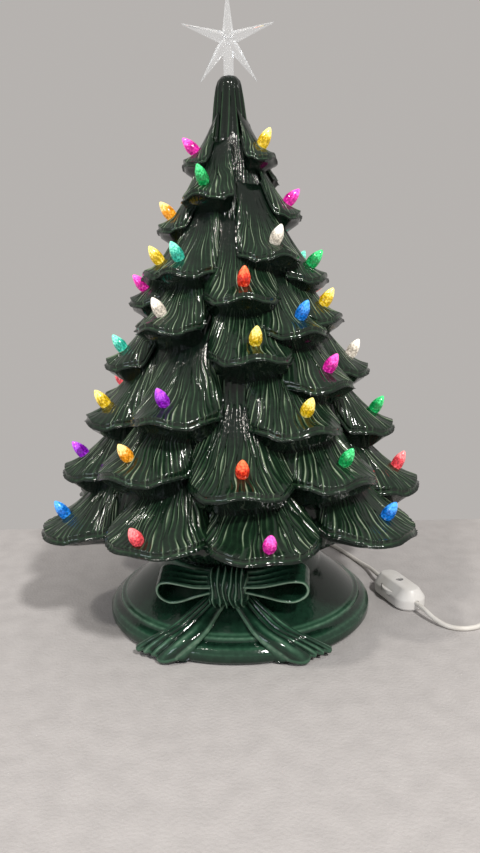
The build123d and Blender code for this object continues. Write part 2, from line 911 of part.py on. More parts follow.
with BuildPart() as switch_top:
    with BuildSketch(switch_plane.offset(switch_bottom_height)):
        SlotOverall(switch_length, switch_width)
    extrude(amount=switch_top_height)
    fillet(switch_top.faces().sort_by(Axis.Z)[-1].edges(), switch_edge)
    with BuildSketch(switch_plane.offset(switch_height)):
        SlotOverall(switch_length - 2 * switch_pad_inset, switch_width - 2 * switch_pad_inset)
    extrude(amount=switch_pad_height)
    fillet(switch_top.faces().sort_by(Axis.Z)[-1].edges(), switch_pad_height / 2)
    with BuildSketch(switch_plane.offset(switch_bottom_height)):
        Circle(wheel_radius + 2 * wheel_gap)
        Circle(post_radius, mode=Mode.SUBTRACT)
    extrude(amount=wheel_room, mode=Mode.SUBTRACT)
    with BuildSketch(switch_plane.offset(switch_bottom_height)):
        Circle(screw_radius + screw_clearance)
    extrude(amount=switch_height, mode=Mode.SUBTRACT)
    with BuildSketch(switch_plane.offset(head_bottom)):
        Circle(screw_head_radius + screw_clearance)
    extrude(amount=switch_height, mode=Mode.SUBTRACT)
    add(cord_entries.part, mode=Mode.SUBTRACT)
switch_top.part.label = "switch_top"
export_step(switch_top.part, "parts/switch_top.step")

with BuildPart() as switch_wheel:
    with BuildSketch(switch_plane.offset(wheel_bottom)):
        Circle(wheel_radius)
        Circle(wheel_bore_radius, mode=Mode.SUBTRACT)
    extrude(amount=wheel_thickness)
    rims = switch_wheel.edges().filter_by(GeomType.CIRCLE).sort_by(SortBy.RADIUS)[-2:]
    fillet(rims, wheel_rim_round)
switch_wheel.part.label = "switch_wheel"
export_step(switch_wheel.part, "parts/switch_wheel.step")

with BuildPart() as switch_screw:
    with BuildSketch(switch_plane.offset(screw_end)):
        Circle(screw_radius)
    extrude(amount=head_bottom - screw_end)
    with BuildSketch(switch_plane.offset(head_bottom)):
        Circle(screw_head_radius)
    extrude(amount=screw_head_height)
    with BuildSketch(switch_plane.offset(head_bottom + screw_head_height / 2)):
        Rectangle(2 * screw_head_radius, screw_head_height / 2)
    extrude(amount=screw_head_height, mode=Mode.SUBTRACT)
switch_screw.part.label = "switch_screw"
export_step(switch_screw.part, "parts/switch_screw.step")

# Coil: one tube that spirals in on the lower layer and out again on the upper one

coil_low = tie_thickness + tie_gap + cord_radius
coil_quarters = 2 * coil_quarters_each_way + coil_exit_quarters


def coil_state(quarter):
    """Position on the coil after a number of quarter turns from its start at the front."""
    angle = math.radians(90 * quarter - 90)
    inward = coil_pitch * min(quarter, 2 * coil_quarters_each_way - quarter) / 4
    radius = coil_outer_radius - inward
    climb = min(max((quarter - coil_quarters_each_way + 1) / 2, 0), 1)
    height = coil_low + coil_layer_pitch * (1 - math.cos(math.pi * climb)) / 2
    return Vector(
        coil_centre[0] + radius * math.cos(angle),
        coil_centre[1] + radius * math.sin(angle),
        height,
    )


def coil_heading(quarter):
    """Direction of the coil, from its position a little before and a little after."""
    nudge = 1 / 64
    return (coil_state(quarter + nudge) - coil_state(quarter - nudge)).normalized()


def biarc_joint(start, start_heading, end, end_heading):
    """Point where two tangent arcs between two placed directions meet."""
    chord = end - start
    both = start_heading + end_heading
    spread = 2 * (1 - start_heading.dot(end_heading))
    along = chord.dot(both)
    reach = (math.sqrt(along**2 + spread * chord.dot(chord)) - along) / spread
    return (start + start_heading * reach + end - end_heading * reach) / 2


coil_start_heading = Vector(1, 0, 0)
coil_end_heading = Vector(0, 1, 0)
with BuildPart() as coil:
    with BuildLine() as coil_path:
        knots = [coil_state(quarter) for quarter in range(coil_quarters + 1)]
        headings = [coil_heading(quarter) for quarter in range(coil_quarters + 1)]
        headings[0] = coil_start_heading
        headings[-1] = coil_end_heading
        Line(knots[0] - headings[0] * cord_diameter, knots[0])
        for start, start_heading, end, end_heading in zip(knots, headings, knots[1:], headings[1:]):
            joint = biarc_joint(start, start_heading, end, end_heading)
            first = TangentArc(start, joint, tangent=start_heading)
            TangentArc(joint, end, tangent=first % 1)
        Line(knots[-1], knots[-1] + headings[-1] * cord_diameter)
    turns = coil_path.wire()
    with BuildSketch(Plane(turns @ 0, z_dir=turns % 0)):
        Circle(cord_radius)
    sweep()
coil.part.label = "cord_coil"
export_step(coil.part, "parts/cord_coil.step")


def least_gap(points, diameter):
    """Least clear distance between stretches of the coil that lie apart along it."""
    gap = math.inf
    steps_apart = 12
    for index, here in enumerate(points):
        for other in points[index + steps_apart:]:
            gap = min(gap, (here - other).length - diameter)
    return gap


samples_per_quarter = 12
samples = [coil_state(step / samples_per_quarter) for step in range(coil_quarters * samples_per_quarter + 1)]
coil_length = turns.length
coil_ratio = coil.part.volume / (math.pi * cord_radius**2 * coil_length)
print("coil length", round(coil_length, 1), "least gap", round(least_gap(samples, cord_diameter), 2))
print("coil volume", round(coil_ratio, 4), "starts", turns @ 0, "ends", turns @ 1)

# Tie round the turns of the coil

tie_angle = math.radians(tie_turn)
coil_inner_radius = coil_outer_radius - coil_pitch * coil_quarters_each_way / 4
tie_low_radius = coil_inner_radius - cord_radius - tie_gap
tie_high_radius = coil_outer_radius + cord_radius + tie_gap
tie_room_height = coil_layer_pitch + cord_diameter + 2 * tie_gap
tie_middle = (tie_low_radius + tie_high_radius) / 2
tie_plane = Plane(
    (
        coil_centre[0] + tie_middle * math.cos(tie_angle),
        coil_centre[1] + tie_middle * math.sin(tie_angle),
        tie_thickness + tie_room_height / 2,
    ),
    x_dir=(math.cos(tie_angle), math.sin(tie_angle), 0),
    z_dir=(math.sin(tie_angle), -math.cos(tie_angle), 0),
)
with BuildPart() as tie:
    room = tie_high_radius - tie_low_radius
    with BuildSketch(tie_plane.offset(-tie_width / 2)):
        RectangleRounded(room + 2 * tie_thickness, tie_room_height + 2 * tie_thickness, tie_thickness)
        Rectangle(room, tie_room_height, mode=Mode.SUBTRACT)
    extrude(amount=tie_width)
tie.part.label = "coil_tie"
export_step(tie.part, "parts/coil_tie.step")

# Plug: a moulded body waisted for the fingers, and two flat blades

plug_start = Vector(*tail_route[-1]) - Vector(0, cord_entry_depth, 0)
plug_middle = plug_start.Z


def plug_section(share, width, thickness):
    """A rounded section across the plug's body."""
    with BuildSketch(Plane.XZ.offset(-plug_start.Y - share * plug_length)) as section:
        with Locations((plug_start.X, plug_middle)):
            RectangleRounded(width, thickness, min(width, thickness) / 3)
    return section.sketch


with BuildPart() as plug:
    grip_width = plug_width * plug_grip_width_share
    loft(
        [
            plug_section(0, plug_neck, plug_neck),
            plug_section(plug_grip_share / 2, grip_width, plug_thickness - plug_edge),
            plug_section(plug_grip_share, grip_width, plug_thickness - plug_edge),
            plug_section(1, plug_width, plug_thickness),
        ],
        ruled=True,
    )
    with BuildSketch(Plane.XZ.offset(-plug_start.Y + overrun)):
        with Locations((plug_start.X, plug_middle)):
            Circle(cord_hole_radius)
    extrude(amount=-cord_entry_depth - overrun, mode=Mode.SUBTRACT)
    with BuildSketch(Plane.XZ.offset(-plug_start.Y - plug_length + blade_root)):
        with Locations((plug_start.X, plug_middle)):
            with GridLocations(blade_spacing, 0, 2, 1):
                Rectangle(blade_thickness + 2 * blade_gap, blade_width + 2 * blade_gap)
    extrude(amount=-blade_root - overrun, mode=Mode.SUBTRACT)
plug.part.label = "plug_body"
export_step(plug.part, "parts/plug_body.step")

with BuildPart() as blades:
    with BuildSketch(Plane.XZ.offset(-plug_start.Y - plug_length + blade_root)):
        with Locations((plug_start.X, plug_middle)):
            with GridLocations(blade_spacing, 0, 2, 1):
                Rectangle(blade_thickness, blade_width)
    extrude(amount=-blade_root - blade_length)
    with BuildSketch(Plane.YZ.offset(plug_start.X - blade_spacing)):
        with Locations((plug_start.Y + plug_length + blade_length - blade_hole_setback, plug_middle)):
            Circle(blade_hole_radius)
    extrude(amount=2 * blade_spacing, mode=Mode.SUBTRACT)
blades.part.label = "plug_blades"
export_step(blades.part, "parts/plug_blades.step")
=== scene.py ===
# %% [markdown]
# # A ceramic Christmas tree, dressed
# The tree is a hollow casting under a dark green glaze. Plug-in bulbs of clear plastic carry the light of one
# lamp out through its boughs, a clear star stands in the spire, and a bow is moulded on the front of the base.
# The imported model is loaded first. It fixes every place and size, and what is made here only gives it its looks.

# %% Load the frame
import math

import bpy
import numpy as np
from mathutils import Matrix, Vector


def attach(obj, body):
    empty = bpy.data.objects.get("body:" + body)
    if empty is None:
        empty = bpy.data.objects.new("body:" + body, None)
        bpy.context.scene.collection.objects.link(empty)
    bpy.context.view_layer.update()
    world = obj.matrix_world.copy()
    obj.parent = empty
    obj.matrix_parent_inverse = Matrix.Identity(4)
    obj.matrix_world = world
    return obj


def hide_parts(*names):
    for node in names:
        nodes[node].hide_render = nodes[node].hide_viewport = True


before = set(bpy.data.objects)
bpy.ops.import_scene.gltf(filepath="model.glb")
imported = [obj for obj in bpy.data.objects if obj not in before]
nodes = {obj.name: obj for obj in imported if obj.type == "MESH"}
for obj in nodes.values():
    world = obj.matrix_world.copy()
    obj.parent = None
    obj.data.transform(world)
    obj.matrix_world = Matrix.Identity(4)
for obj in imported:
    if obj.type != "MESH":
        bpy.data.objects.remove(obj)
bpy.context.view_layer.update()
bpy.ops.object.select_all(action="DESELECT")

# %% [markdown]
# ## Camera
# The photograph is taken from a little above the middle of the tree, about 0.6 m away, with the phone turned
# slightly. The lens is given as a focal length on a 36 mm sensor along the long side of the picture.

# %% Camera
CAMERA_PLACE = (0.0, -0.588, 0.2695)
CAMERA_LENS = 29.54
CAMERA_DIP = math.radians(10.6)
CAMERA_ROLL = math.radians(-1.2)
CAMERA_YAW = math.radians(-0.3)

bpy.ops.object.camera_add(location=CAMERA_PLACE)
camera = bpy.context.object
camera.data.lens = CAMERA_LENS
camera.data.sensor_width = 36.0
aim = Matrix.Rotation(CAMERA_YAW, 4, "Z") @ Matrix.Rotation(math.pi / 2 - CAMERA_DIP, 4, "X")
camera.rotation_euler = (aim @ Matrix.Rotation(CAMERA_ROLL, 4, "Z")).to_euler()
bpy.context.scene.camera = camera
print("camera at", CAMERA_PLACE)

# %% [markdown]
# ## Materials
# A material is a small tree of nodes around the Principled shader. A few helpers keep each finish short: one
# starts it, one adds a node with its settings, and the others add noise, ramps, sums and a fine bump.


# %% Material helpers
def start_material(name, **sockets):
    """A new node material whose Principled shader has these socket values."""
    material = bpy.data.materials.new(name)
    material.use_nodes = True
    shader = material.node_tree.nodes["Principled BSDF"]
    for socket, value in sockets.items():
        shader.inputs[socket.replace("_", " ")].default_value = value
    return material, shader


def add_node(material, kind, **settings):
    """A node of this kind, with its properties and socket values set."""
    node = material.node_tree.nodes.new(kind)
    for key, value in settings.items():
        if key in node.inputs:
            node.inputs[key].default_value = value
        else:
            setattr(node, key, value)
    return node


def link(source, target):
    """Joins an output socket to an input socket."""
    source.id_data.links.new(source, target)


def add_noise(material, scale, detail=3.0):
    """Cloudy noise on the piece's own coordinates."""
    place = add_node(material, "ShaderNodeTexCoord")
    noise = add_node(material, "ShaderNodeTexNoise", Scale=scale, Detail=detail)
    link(place.outputs["Object"], noise.inputs["Vector"])
    return noise.outputs["Fac"]


def add_bump(material, shader, height, strength, distance):
    """Bump from a height socket on the shader's normal."""
    bump = add_node(material, "ShaderNodeBump", Strength=strength, Distance=distance)
    link(height, bump.inputs["Height"])
    link(bump.outputs["Normal"], shader.inputs["Normal"])


def add_ramp(material, factor, stops):
    """A colour ramp of (position, colour) stops."""
    ramp = add_node(material, "ShaderNodeValToRGB")
    elements = ramp.color_ramp.elements
    while len(elements) < len(stops):
        elements.new(0.5)
    for element, (position, colour) in zip(elements, stops):
        element.position = position
        element.color = (*colour, 1.0)
    link(factor, ramp.inputs["Fac"])
    return ramp.outputs["Color"]


def remap(material, value, low, high, **settings):
    """A socket's value carried onto the range from low to high."""
    node = add_node(material, "ShaderNodeMapRange", **{"To Min": low, "To Max": high}, **settings)
    link(value, node.inputs["Value"])
    return node.outputs["Result"]


def add_up(material, first, second):
    """The sum of two sockets, kept between 0 and 1."""
    node = add_node(material, "ShaderNodeMath", operation="ADD", use_clamp=True)
    link(first, node.inputs[0])
    link(second, node.inputs[1])
    return node.outputs["Value"]


def moulded(name, colour, dirt, roughness, grain_scale, grain_depth):
    """Moulded plastic: a colour that wanders slightly, and a fine grain."""
    material, shader = start_material(name, Roughness=roughness)
    clouds = add_noise(material, scale=60.0)
    tint = add_ramp(material, clouds, ((0.3, dirt), (0.65, colour)))
    link(tint, shader.inputs["Base Color"])
    grain = add_noise(material, grain_scale, detail=2.0)
    add_bump(material, shader, grain, strength=0.25, distance=grain_depth)
    return material


def plated(name, colour, tarnish, roughness):
    """Sheet metal with a light tarnish and a fine grain."""
    material, shader = start_material(name, Metallic=1.0, Roughness=roughness)
    clouds = add_noise(material, scale=220.0, detail=5.0)
    tint = add_ramp(material, clouds, ((0.35, tarnish), (0.62, colour)))
    link(tint, shader.inputs["Base Color"])
    add_bump(material, shader, clouds, strength=0.2, distance=0.0001)
    return material


def finish_node(node, material):
    """Gives a CAD node its material."""
    slots = nodes[node].data.materials
    slots.clear()
    slots.append(material)


white_cord = moulded("white_cord", (0.80, 0.78, 0.74), (0.70, 0.67, 0.62), 0.42, 900.0, 0.0001)
white_moulding = moulded("white_moulding", (0.82, 0.81, 0.79), (0.74, 0.72, 0.69), 0.34, 1400.0, 0.00006)
print("plain finishes:", white_cord.name, white_moulding.name)

# %% [markdown]
# ## Cords
# The lead comes out of the notch behind the base, lies in a loose bend on the table, climbs into the switch and
# runs on out of the picture. What isn't seen is wound into a small coil with a tie, and ends in the plug. Each
# cord is one NURBS spline through the route's points, so that it bends as smoothly as a real lead, and a bevel
# gives it its thickness. The coil's turns are more points of the same spline.

# %% Cords
CORD_DIAMETER = 0.004
INSIDE_ROUTE = (
    (0, 0.0058, 0.036), (0, 0.024, 0.036), (0, 0.046, 0.028), (0, 0.069, 0.0125), (0, 0.092, 0.002),
    (0, 0.114, 0.002),
)
LEAD_ROUTE = (
    (0, 0.114, 0.002), (0, 0.138, 0.002), (0.017, 0.161, 0.002), (0.046, 0.171, 0.002),
    (0.077, 0.161, 0.002), (0.100, 0.136, 0.002), (0.112, 0.108, 0.002), (0.121, 0.083, 0.002),
    (0.128, 0.060, 0.0045), (0.12997, 0.03615, 0.008), (0.13537, 0.019029, 0.008),
)
RUN_ROUTE = (
    (0.14863, -0.023029, 0.008), (0.153442, -0.038288, 0.008), (0.159, -0.0515, 0.0045),
    (0.168, -0.062, 0.002), (0.180, -0.066, 0.002), (0.1915, -0.063, 0.002), (0.201, -0.055, 0.002),
    (0.210, -0.047, 0.002), (0.221, -0.0415, 0.0024), (0.238, -0.038, 0.0034), (0.256, -0.038, 0.0034),
)
TAIL_ROUTE = (
    (0.291825, 0.012, 0.008), (0.291, 0.028, 0.006), (0.290, 0.044, 0.008), (0.290, 0.057, 0.008),
)
COIL_CENTRE = (0.260, -0.005)
COIL_RADIUS = 0.033
COIL_PITCH = 0.0047
COIL_LOW = 0.0034
COIL_LAYER = 0.0046
COIL_QUARTERS = 29
CLIMB_START = 14
CLIMB_QUARTERS = 2
POINTS_PER_QUARTER = 6


def coil_point(quarter):
    """Where the coil is after some quarter turns: in on the lower layer, out on the upper one."""
    angle = math.pi / 2 * (quarter - 1)
    radius = COIL_RADIUS - COIL_PITCH / 4 * min(quarter, COIL_QUARTERS + 1 - quarter)
    climb = min(max((quarter - CLIMB_START) / CLIMB_QUARTERS, 0), 1)
    height = COIL_LOW + COIL_LAYER * (1 - math.cos(math.pi * climb)) / 2
    return (COIL_CENTRE[0] + radius * math.cos(angle), COIL_CENTRE[1] + radius * math.sin(angle), height)


def lay_cord(name, points):
    """A cord along one smooth spline with these control points."""
    curve = bpy.data.curves.new(name, "CURVE")
    curve.dimensions = "3D"
    spline = curve.splines.new("NURBS")
    spline.points.add(len(points) - 1)
    for control, point in zip(spline.points, points):
        control.co = (*point, 1.0)
    spline.order_u = 3
    spline.use_endpoint_u = True
    spline.resolution_u = 8
    curve.bevel_depth = CORD_DIAMETER / 2
    curve.bevel_resolution = 3
    curve.use_fill_caps = True
    curve.materials.append(white_cord)
    cord = bpy.data.objects.new(name, curve)
    bpy.context.collection.objects.link(cord)
    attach(cord, "base")
    return cord


coil_points = [coil_point(step / POINTS_PER_QUARTER) for step in range(COIL_QUARTERS * POINTS_PER_QUARTER + 1)]
inside_cord = lay_cord("lead_in_base", INSIDE_ROUTE)
lead_cord = lay_cord("lead_to_switch", LEAD_ROUTE)
plug_cord = lay_cord("lead_to_plug", RUN_ROUTE + tuple(coil_points[1:]) + TAIL_ROUTE)
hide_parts("cord_inside")
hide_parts("cord_lead")
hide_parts("cord_run", "cord_coil", "cord_tail")
print("cord points:", len(LEAD_ROUTE), len(plug_cord.data.splines[0].points))

# %% [markdown]
# ## Glaze
# A green glaze runs off every sharp crest while it melts, so crests and lips show a thin pale line and the
# hollows between them are almost black. Each glazed mesh carries an attribute named crest, 1 along those lines
# and 0 in the hollows, and the colour ramp turns it into glaze. A little noise breaks the lines up.
# On the boughs, the bow and the base the crest attribute also carries painted shade and painted highlights, set where
# each piece is made.

# %% Glaze
LINE_WANDER = 0.16


def make_glaze(name, hollow, flank, shoulder, crest):
    """Glossy green glaze that breaks pale along the crest attribute."""
    material, shader = start_material(name, Roughness=0.10, IOR=1.5)
    lines = add_node(material, "ShaderNodeAttribute", attribute_name="crest")
    clouds = add_noise(material, scale=260.0, detail=4.0)
    broken = add_up(material, lines.outputs["Fac"], remap(material, clouds, -LINE_WANDER, LINE_WANDER))
    stops = ((0.05, hollow), (0.32, flank), (0.62, shoulder), (0.95, crest))
    link(add_ramp(material, broken, stops), shader.inputs["Base Color"])
    pooling = add_noise(material, scale=420.0, detail=2.0)
    add_bump(material, shader, pooling, strength=0.35, distance=0.0004)
    return material


tree_glaze = make_glaze(
    "tree_glaze", (0.003, 0.008, 0.005), (0.010, 0.030, 0.014), (0.038, 0.078, 0.039), (0.27, 0.33, 0.23)
)
# The base glaze's shoulder and crest colours are paler than the tree's: glaze breaking on edges, with painted
# reflections on the bow and the mouldings.
base_glaze = make_glaze(
    "base_glaze", (0.003, 0.014, 0.008), (0.013, 0.048, 0.027), (0.050, 0.130, 0.078), (0.26, 0.38, 0.28)
)
print("glazes:", tree_glaze.name, base_glaze.name)

# %% [markdown]
# ## Where the bulbs sit
# Every bough carries one bulb, so the bulbs' CAD nodes tell where the boughs are. A bulb's vertices spread most
# along its own length, and that direction is found from them. It lies in a plane through the tree's axis.

# %% Bulb seats
BULB_LENGTH = 0.017
BULB_SINK = 0.0014


def islands(mesh):
    """The corners of each separate solid in a mesh of loose triangles."""
    places = np.zeros(len(mesh.vertices) * 3)
    mesh.vertices.foreach_get("co", places)
    places = places.reshape(-1, 3)
    keys = {}
    joined = np.array([keys.setdefault(tuple(p), len(keys)) for p in np.round(places, 6)])
    owner = list(range(len(keys)))

    def root(key):
        while owner[key] != key:
            key = owner[key]
        return key

    for polygon in mesh.polygons:
        corners = [root(joined[v]) for v in polygon.vertices]
        for corner in corners[1:]:
            owner[corner] = corners[0]
            corners[0] = root(corners[0])
    roots = np.array([root(key) for key in joined])
    return [places[roots == key] for key in sorted(set(roots))]


class Seat:
    """A bulb's place: its turn round the tree from the front, its axis, and the bough's top below it."""

    def __init__(self, colour, corners):
        middle = corners.mean(0)
        spread = np.linalg.svd(corners - middle, full_matrices=False)[2][0]
        self.axis = Vector(spread if spread[2] > 0 else -spread).normalized()
        along = (corners - middle) @ np.array(self.axis)
        tip = Vector(middle) + self.axis * along.max()
        self.shoulder = tip - self.axis * BULB_LENGTH
        self.top = self.shoulder + self.axis * BULB_SINK
        self.turn = math.atan2(self.top.x, -self.top.y)
        self.radius = math.hypot(self.top.x, self.top.y)
        self.height = self.top.z
        self.colour = colour


seats = []
for node_name in sorted(nodes):
    if node_name.startswith("bulbs_"):
        for corners in islands(nodes[node_name].data):
            seats.append(Seat(node_name[len("bulbs_") :], corners))
heights = [seat.height for seat in seats]
print("bulb seats:", len(seats), "heights", round(min(heights), 3), round(max(heights), 3))

# %% [markdown]
# ## Boughs
# A bough is a scallop shell: narrow at the trunk, wide at a thick rolled lip, with needle ridges that fan out
# from the root. A grid is bent into that form: its columns run along the ridges, over the lip and back below,
# and its rows go across. Between two ridges the columns follow a hollow flute that ends in a sharp crest, and
# the same numbers fill the crest attribute. Each ridge has its own width, height and waver, from a seeded draw.
# Towards each bough's root the crest values are lowered as painted shade, where the tier above overhangs.

# %% Bough sizes
SEAT_LOW = (0.144, 0.102)
SEAT_TOP = (0.027, 0.381)
OVERHANG = (0.022, 0.013)
HALF_WIDTH = (0.046, 0.023)
TOP_SLOPE = (0.68, 1.30)
TOP_SWEEP = 0.90
TIP_DROP = (0.008, 0.006)
TIP_THICKNESS = 0.007
UNDER_SLOPE = 0.65
LOWEST_TIER = 0.05
LOWEST_UNDER_SLOPE = 0.20
OVER_BOW_TURN = math.radians(40.0)
OVER_BOW_SHARE = 0.45
STATIONS = ((0.57, 0.68), (0.79, 0.94), (1.0, 1.0))
TIP_WIDTH = 0.30
UNDER_END = 0.79
CORNER_SHARE = 0.42
LIP_RADIUS = (0.0034, 0.0024)
RIDGE_SPACING = (0.0044, 0.0034)
RIDGE_HEIGHT = (0.0016, 0.0010)
COLUMNS_PER_RIDGE = 5
TOP_ROWS = 26
LIP_ROWS = 8
UNDER_ROWS = 7
CORE_WALL = 0.0045
CORE_OUTLINE = (
    (0.062, 0.056), (0.062, 0.060), (0.098, 0.076), (0.114, 0.106), (0.023, 0.368), (0.0145, 0.398),
    (0.0107, 0.430), (0.0052, 0.438),
)


def core_radius(height):
    """Outside radius of the tree's core at a height."""
    radii, heights = zip(*CORE_OUTLINE)
    return np.interp(height, heights, radii)


def smooth_line(points, count):
    """Points at even steps, or at these shares, along a smooth line through the points, and its length."""
    points = np.asarray(points, float)
    padded = np.vstack([2 * points[0] - points[1], points, 2 * points[-1] - points[-2]])
    fine = []
    for a, b, c, d in zip(padded, padded[1:], padded[2:], padded[3:]):
        t = np.linspace(0, 1, 24, endpoint=False)[:, None]
        fine.append(0.5 * (2 * b + (c - a) * t + (2 * a - 5 * b + 4 * c - d) * t**2 + (3 * b - a - 3 * c + d) * t**3))
    fine = np.vstack(fine + [points[-1:]])
    run = np.concatenate([[0], np.cumsum(np.linalg.norm(np.diff(fine, axis=0), axis=1))])
    at = np.asarray(count, float) * run[-1] if np.ndim(count) else np.linspace(0, run[-1], count)
    return np.column_stack([np.interp(at, run, axis) for axis in fine.T]), run[-1]


def rise(value, start, run):
    """From 0 at the start to 1 at the end of a run."""
    return np.clip((value - start) / run, 0, 1)


print("tree core up to", CORE_OUTLINE[-1][1])

# %% One bough
TIP_CURVE = 0.6
ROOT_GUESS = 0.75
ROOT_LEAST = 0.5
ROOT_ROUNDS = 60
BELLY_SHARE = 0.80
BELLY_GAP = 0.06
OUTLINE_WIDTH = 0.97
OUTLINE_ROUNDING = 0.8
OUTLINE_ANGLES = (0, 18, 36, 52, 66, 79, 90)
FEWEST_RIDGES = 8
RIDGE_WIDTHS = (0.55, 1.55)
RIDGE_STRENGTHS = (0.30, 1.30)
ROOT_FAN = 0.70
WAY_BEND = (0.34, 0.66)
ROW_CROWDING = 0.88
WAVER_TURNS = (1.1, 2.1)
WAVER_STEP = 0.045
WAVER_SECOND = 0.8
WAVER_SIZE = 0.26
FADE_MEAN = 0.62
FADE_SWING = 0.38
FADE_TURNS = 1.3
TIP_FADE = (0.86, 0.14)
TIP_LOSS = 0.25
ROOT_FADE = 0.42
WEAKEST = 0.10
CREST_SHARPNESS = 2.4
CREST_GAIN = 1.05
CREST_LEAST = 0.14
# Painted shade near each bough's root, where the tier above overhangs: its start and run, its power, and its darkest
# share.
ROOT_SHADE = (0.12, 0.38)
ROOT_SHADE_POWER = 1.3
ROOT_SHADE_DARKEST = 0.12
STEEPEST_LIP = 1.2
# Painted shade over the lip: the crest values fall as the roll turns down.
LIP_SHADE = (0.8, 0.6)
# A pale line low on each lip's roll: glaze breaking there, made brighter as a painted highlight.
LIP_LINE = (-0.35, 0.25)
LIP_LINE_PALE = (0.15, 0.35)
UNDER_SLACK = 0.001
SIDE_SHARE = 0.17
SIDE_ROUNDING = 1.5
SIDE_SINK = 0.16


class Bough:
    """Sizes of one bough, worked out from its seat as on the casting."""

    def __init__(self, seat):
        share = (seat.height - SEAT_LOW[1]) / (SEAT_TOP[1] - SEAT_LOW[1])

        def at(pair):
            return pair[0] + (pair[1] - pair[0]) * share

        lowest = share < LOWEST_TIER
        reach = OVER_BOW_SHARE if lowest and abs(seat.turn) < OVER_BOW_TURN else 1.0
        self.share = share
        self.seat_radius, self.seat_height = seat.radius, seat.height
        self.tip_radius = seat.radius + reach * at(OVERHANG)
        self.tip_height = seat.height - reach * at(TIP_DROP)
        self.half_width = at(HALF_WIDTH)
        self.slope = at(TOP_SLOPE)
        self.fall = LOWEST_UNDER_SLOPE if lowest else UNDER_SLOPE
        self.lip = at(LIP_RADIUS)
        self.spacing = at(RIDGE_SPACING)
        self.ridge = at(RIDGE_HEIGHT)
        places, widths = np.array(STATIONS).T
        self.stations = np.append(places * seat.radius, self.tip_radius)
        self.widths = np.append(widths, TIP_WIDTH) * self.half_width

    def top(self, rho):
        """Height of the middle of the upper face."""
        inward = np.maximum(self.seat_radius - rho, 0)
        outer = rise(rho, self.seat_radius, self.tip_radius - self.seat_radius)
        drop = (self.seat_height - self.tip_height) * ((1 + TIP_CURVE) * outer - TIP_CURVE * outer**2)
        return self.seat_height + self.slope * inward + TOP_SWEEP * inward**2 / self.seat_radius - drop

    def bottom(self, rho):
        """Height of the middle of the underside."""
        run = self.tip_radius - np.maximum(rho, UNDER_END * self.seat_radius)
        return self.tip_height - TIP_THICKNESS - self.fall * run

    def faces(self, across, rho):
        """Heights of the upper face and the underside at a place: arcs over and under the side corners."""
        half = np.interp(rho, self.stations, self.widths)
        top, bottom = self.top(rho), self.bottom(rho)
        corner = bottom + CORNER_SHARE * (top - bottom)
        aside = np.minimum(np.abs(across), half)

        def arc(rise):
            """How far an arc of this rise has dropped from its middle at this place."""
            size = (half**2 + rise**2) / (2 * rise)
            return size - np.sqrt(np.maximum(size**2 - aside**2, 0))

        upper = top - np.minimum(arc(top - corner), top - corner - self.lip)
        under = bottom + np.minimum(arc(corner - bottom), corner - bottom - self.lip)
        return upper, np.minimum(under, upper - 2 * self.lip)

    def root(self, height_at):
        """Radius where a face of the bough meets the middle of the core's wall."""
        rho = ROOT_GUESS * self.seat_radius
        for _ in range(ROOT_ROUNDS):
            rho = 0.5 * rho + 0.5 * (core_radius(height_at(rho)) - CORE_WALL / 2)
        return max(rho, ROOT_LEAST * self.seat_radius)


def bough_outline(bough, start):
    """The bough's lip in plan, a long U from its right root round the tip to its left root."""
    inset = bough.lip
    belly = max(BELLY_SHARE * bough.seat_radius, start + BELLY_GAP * bough.seat_radius)
    right = [(np.interp(start, bough.stations, bough.widths) - inset, start)]
    for angle in np.radians(OUTLINE_ANGLES):
        width = OUTLINE_WIDTH * bough.half_width * max(math.cos(angle), 0) ** OUTLINE_ROUNDING
        outwards = belly + (bough.tip_radius - inset - belly) * math.sin(angle)
        right.append((width - inset * math.cos(angle), outwards))
    right[-1] = (0.0, bough.tip_radius - inset)
    return right + [(-x, r) for x, r in reversed(right[:-1])]


def ridge_columns(length, spacing, draw):
    """Columns across uneven ridges: place along the lip, share of the way to the next crest, ridge number."""
    ridges = max(int(round(length / spacing)), FEWEST_RIDGES)
    widths = draw.uniform(*RIDGE_WIDTHS, ridges)
    marks = np.concatenate([[0], np.cumsum(widths) / widths.sum()])
    steps = np.arange(COLUMNS_PER_RIDGE) / COLUMNS_PER_RIDGE
    columns = (marks[:-1, None] + np.diff(marks)[:, None] * steps).ravel()
    ridge_of = np.repeat(np.arange(ridges), COLUMNS_PER_RIDGE)
    return np.append(columns, 1.0), np.append(np.tile(steps, ridges), 0.0), np.append(ridge_of, ridges)


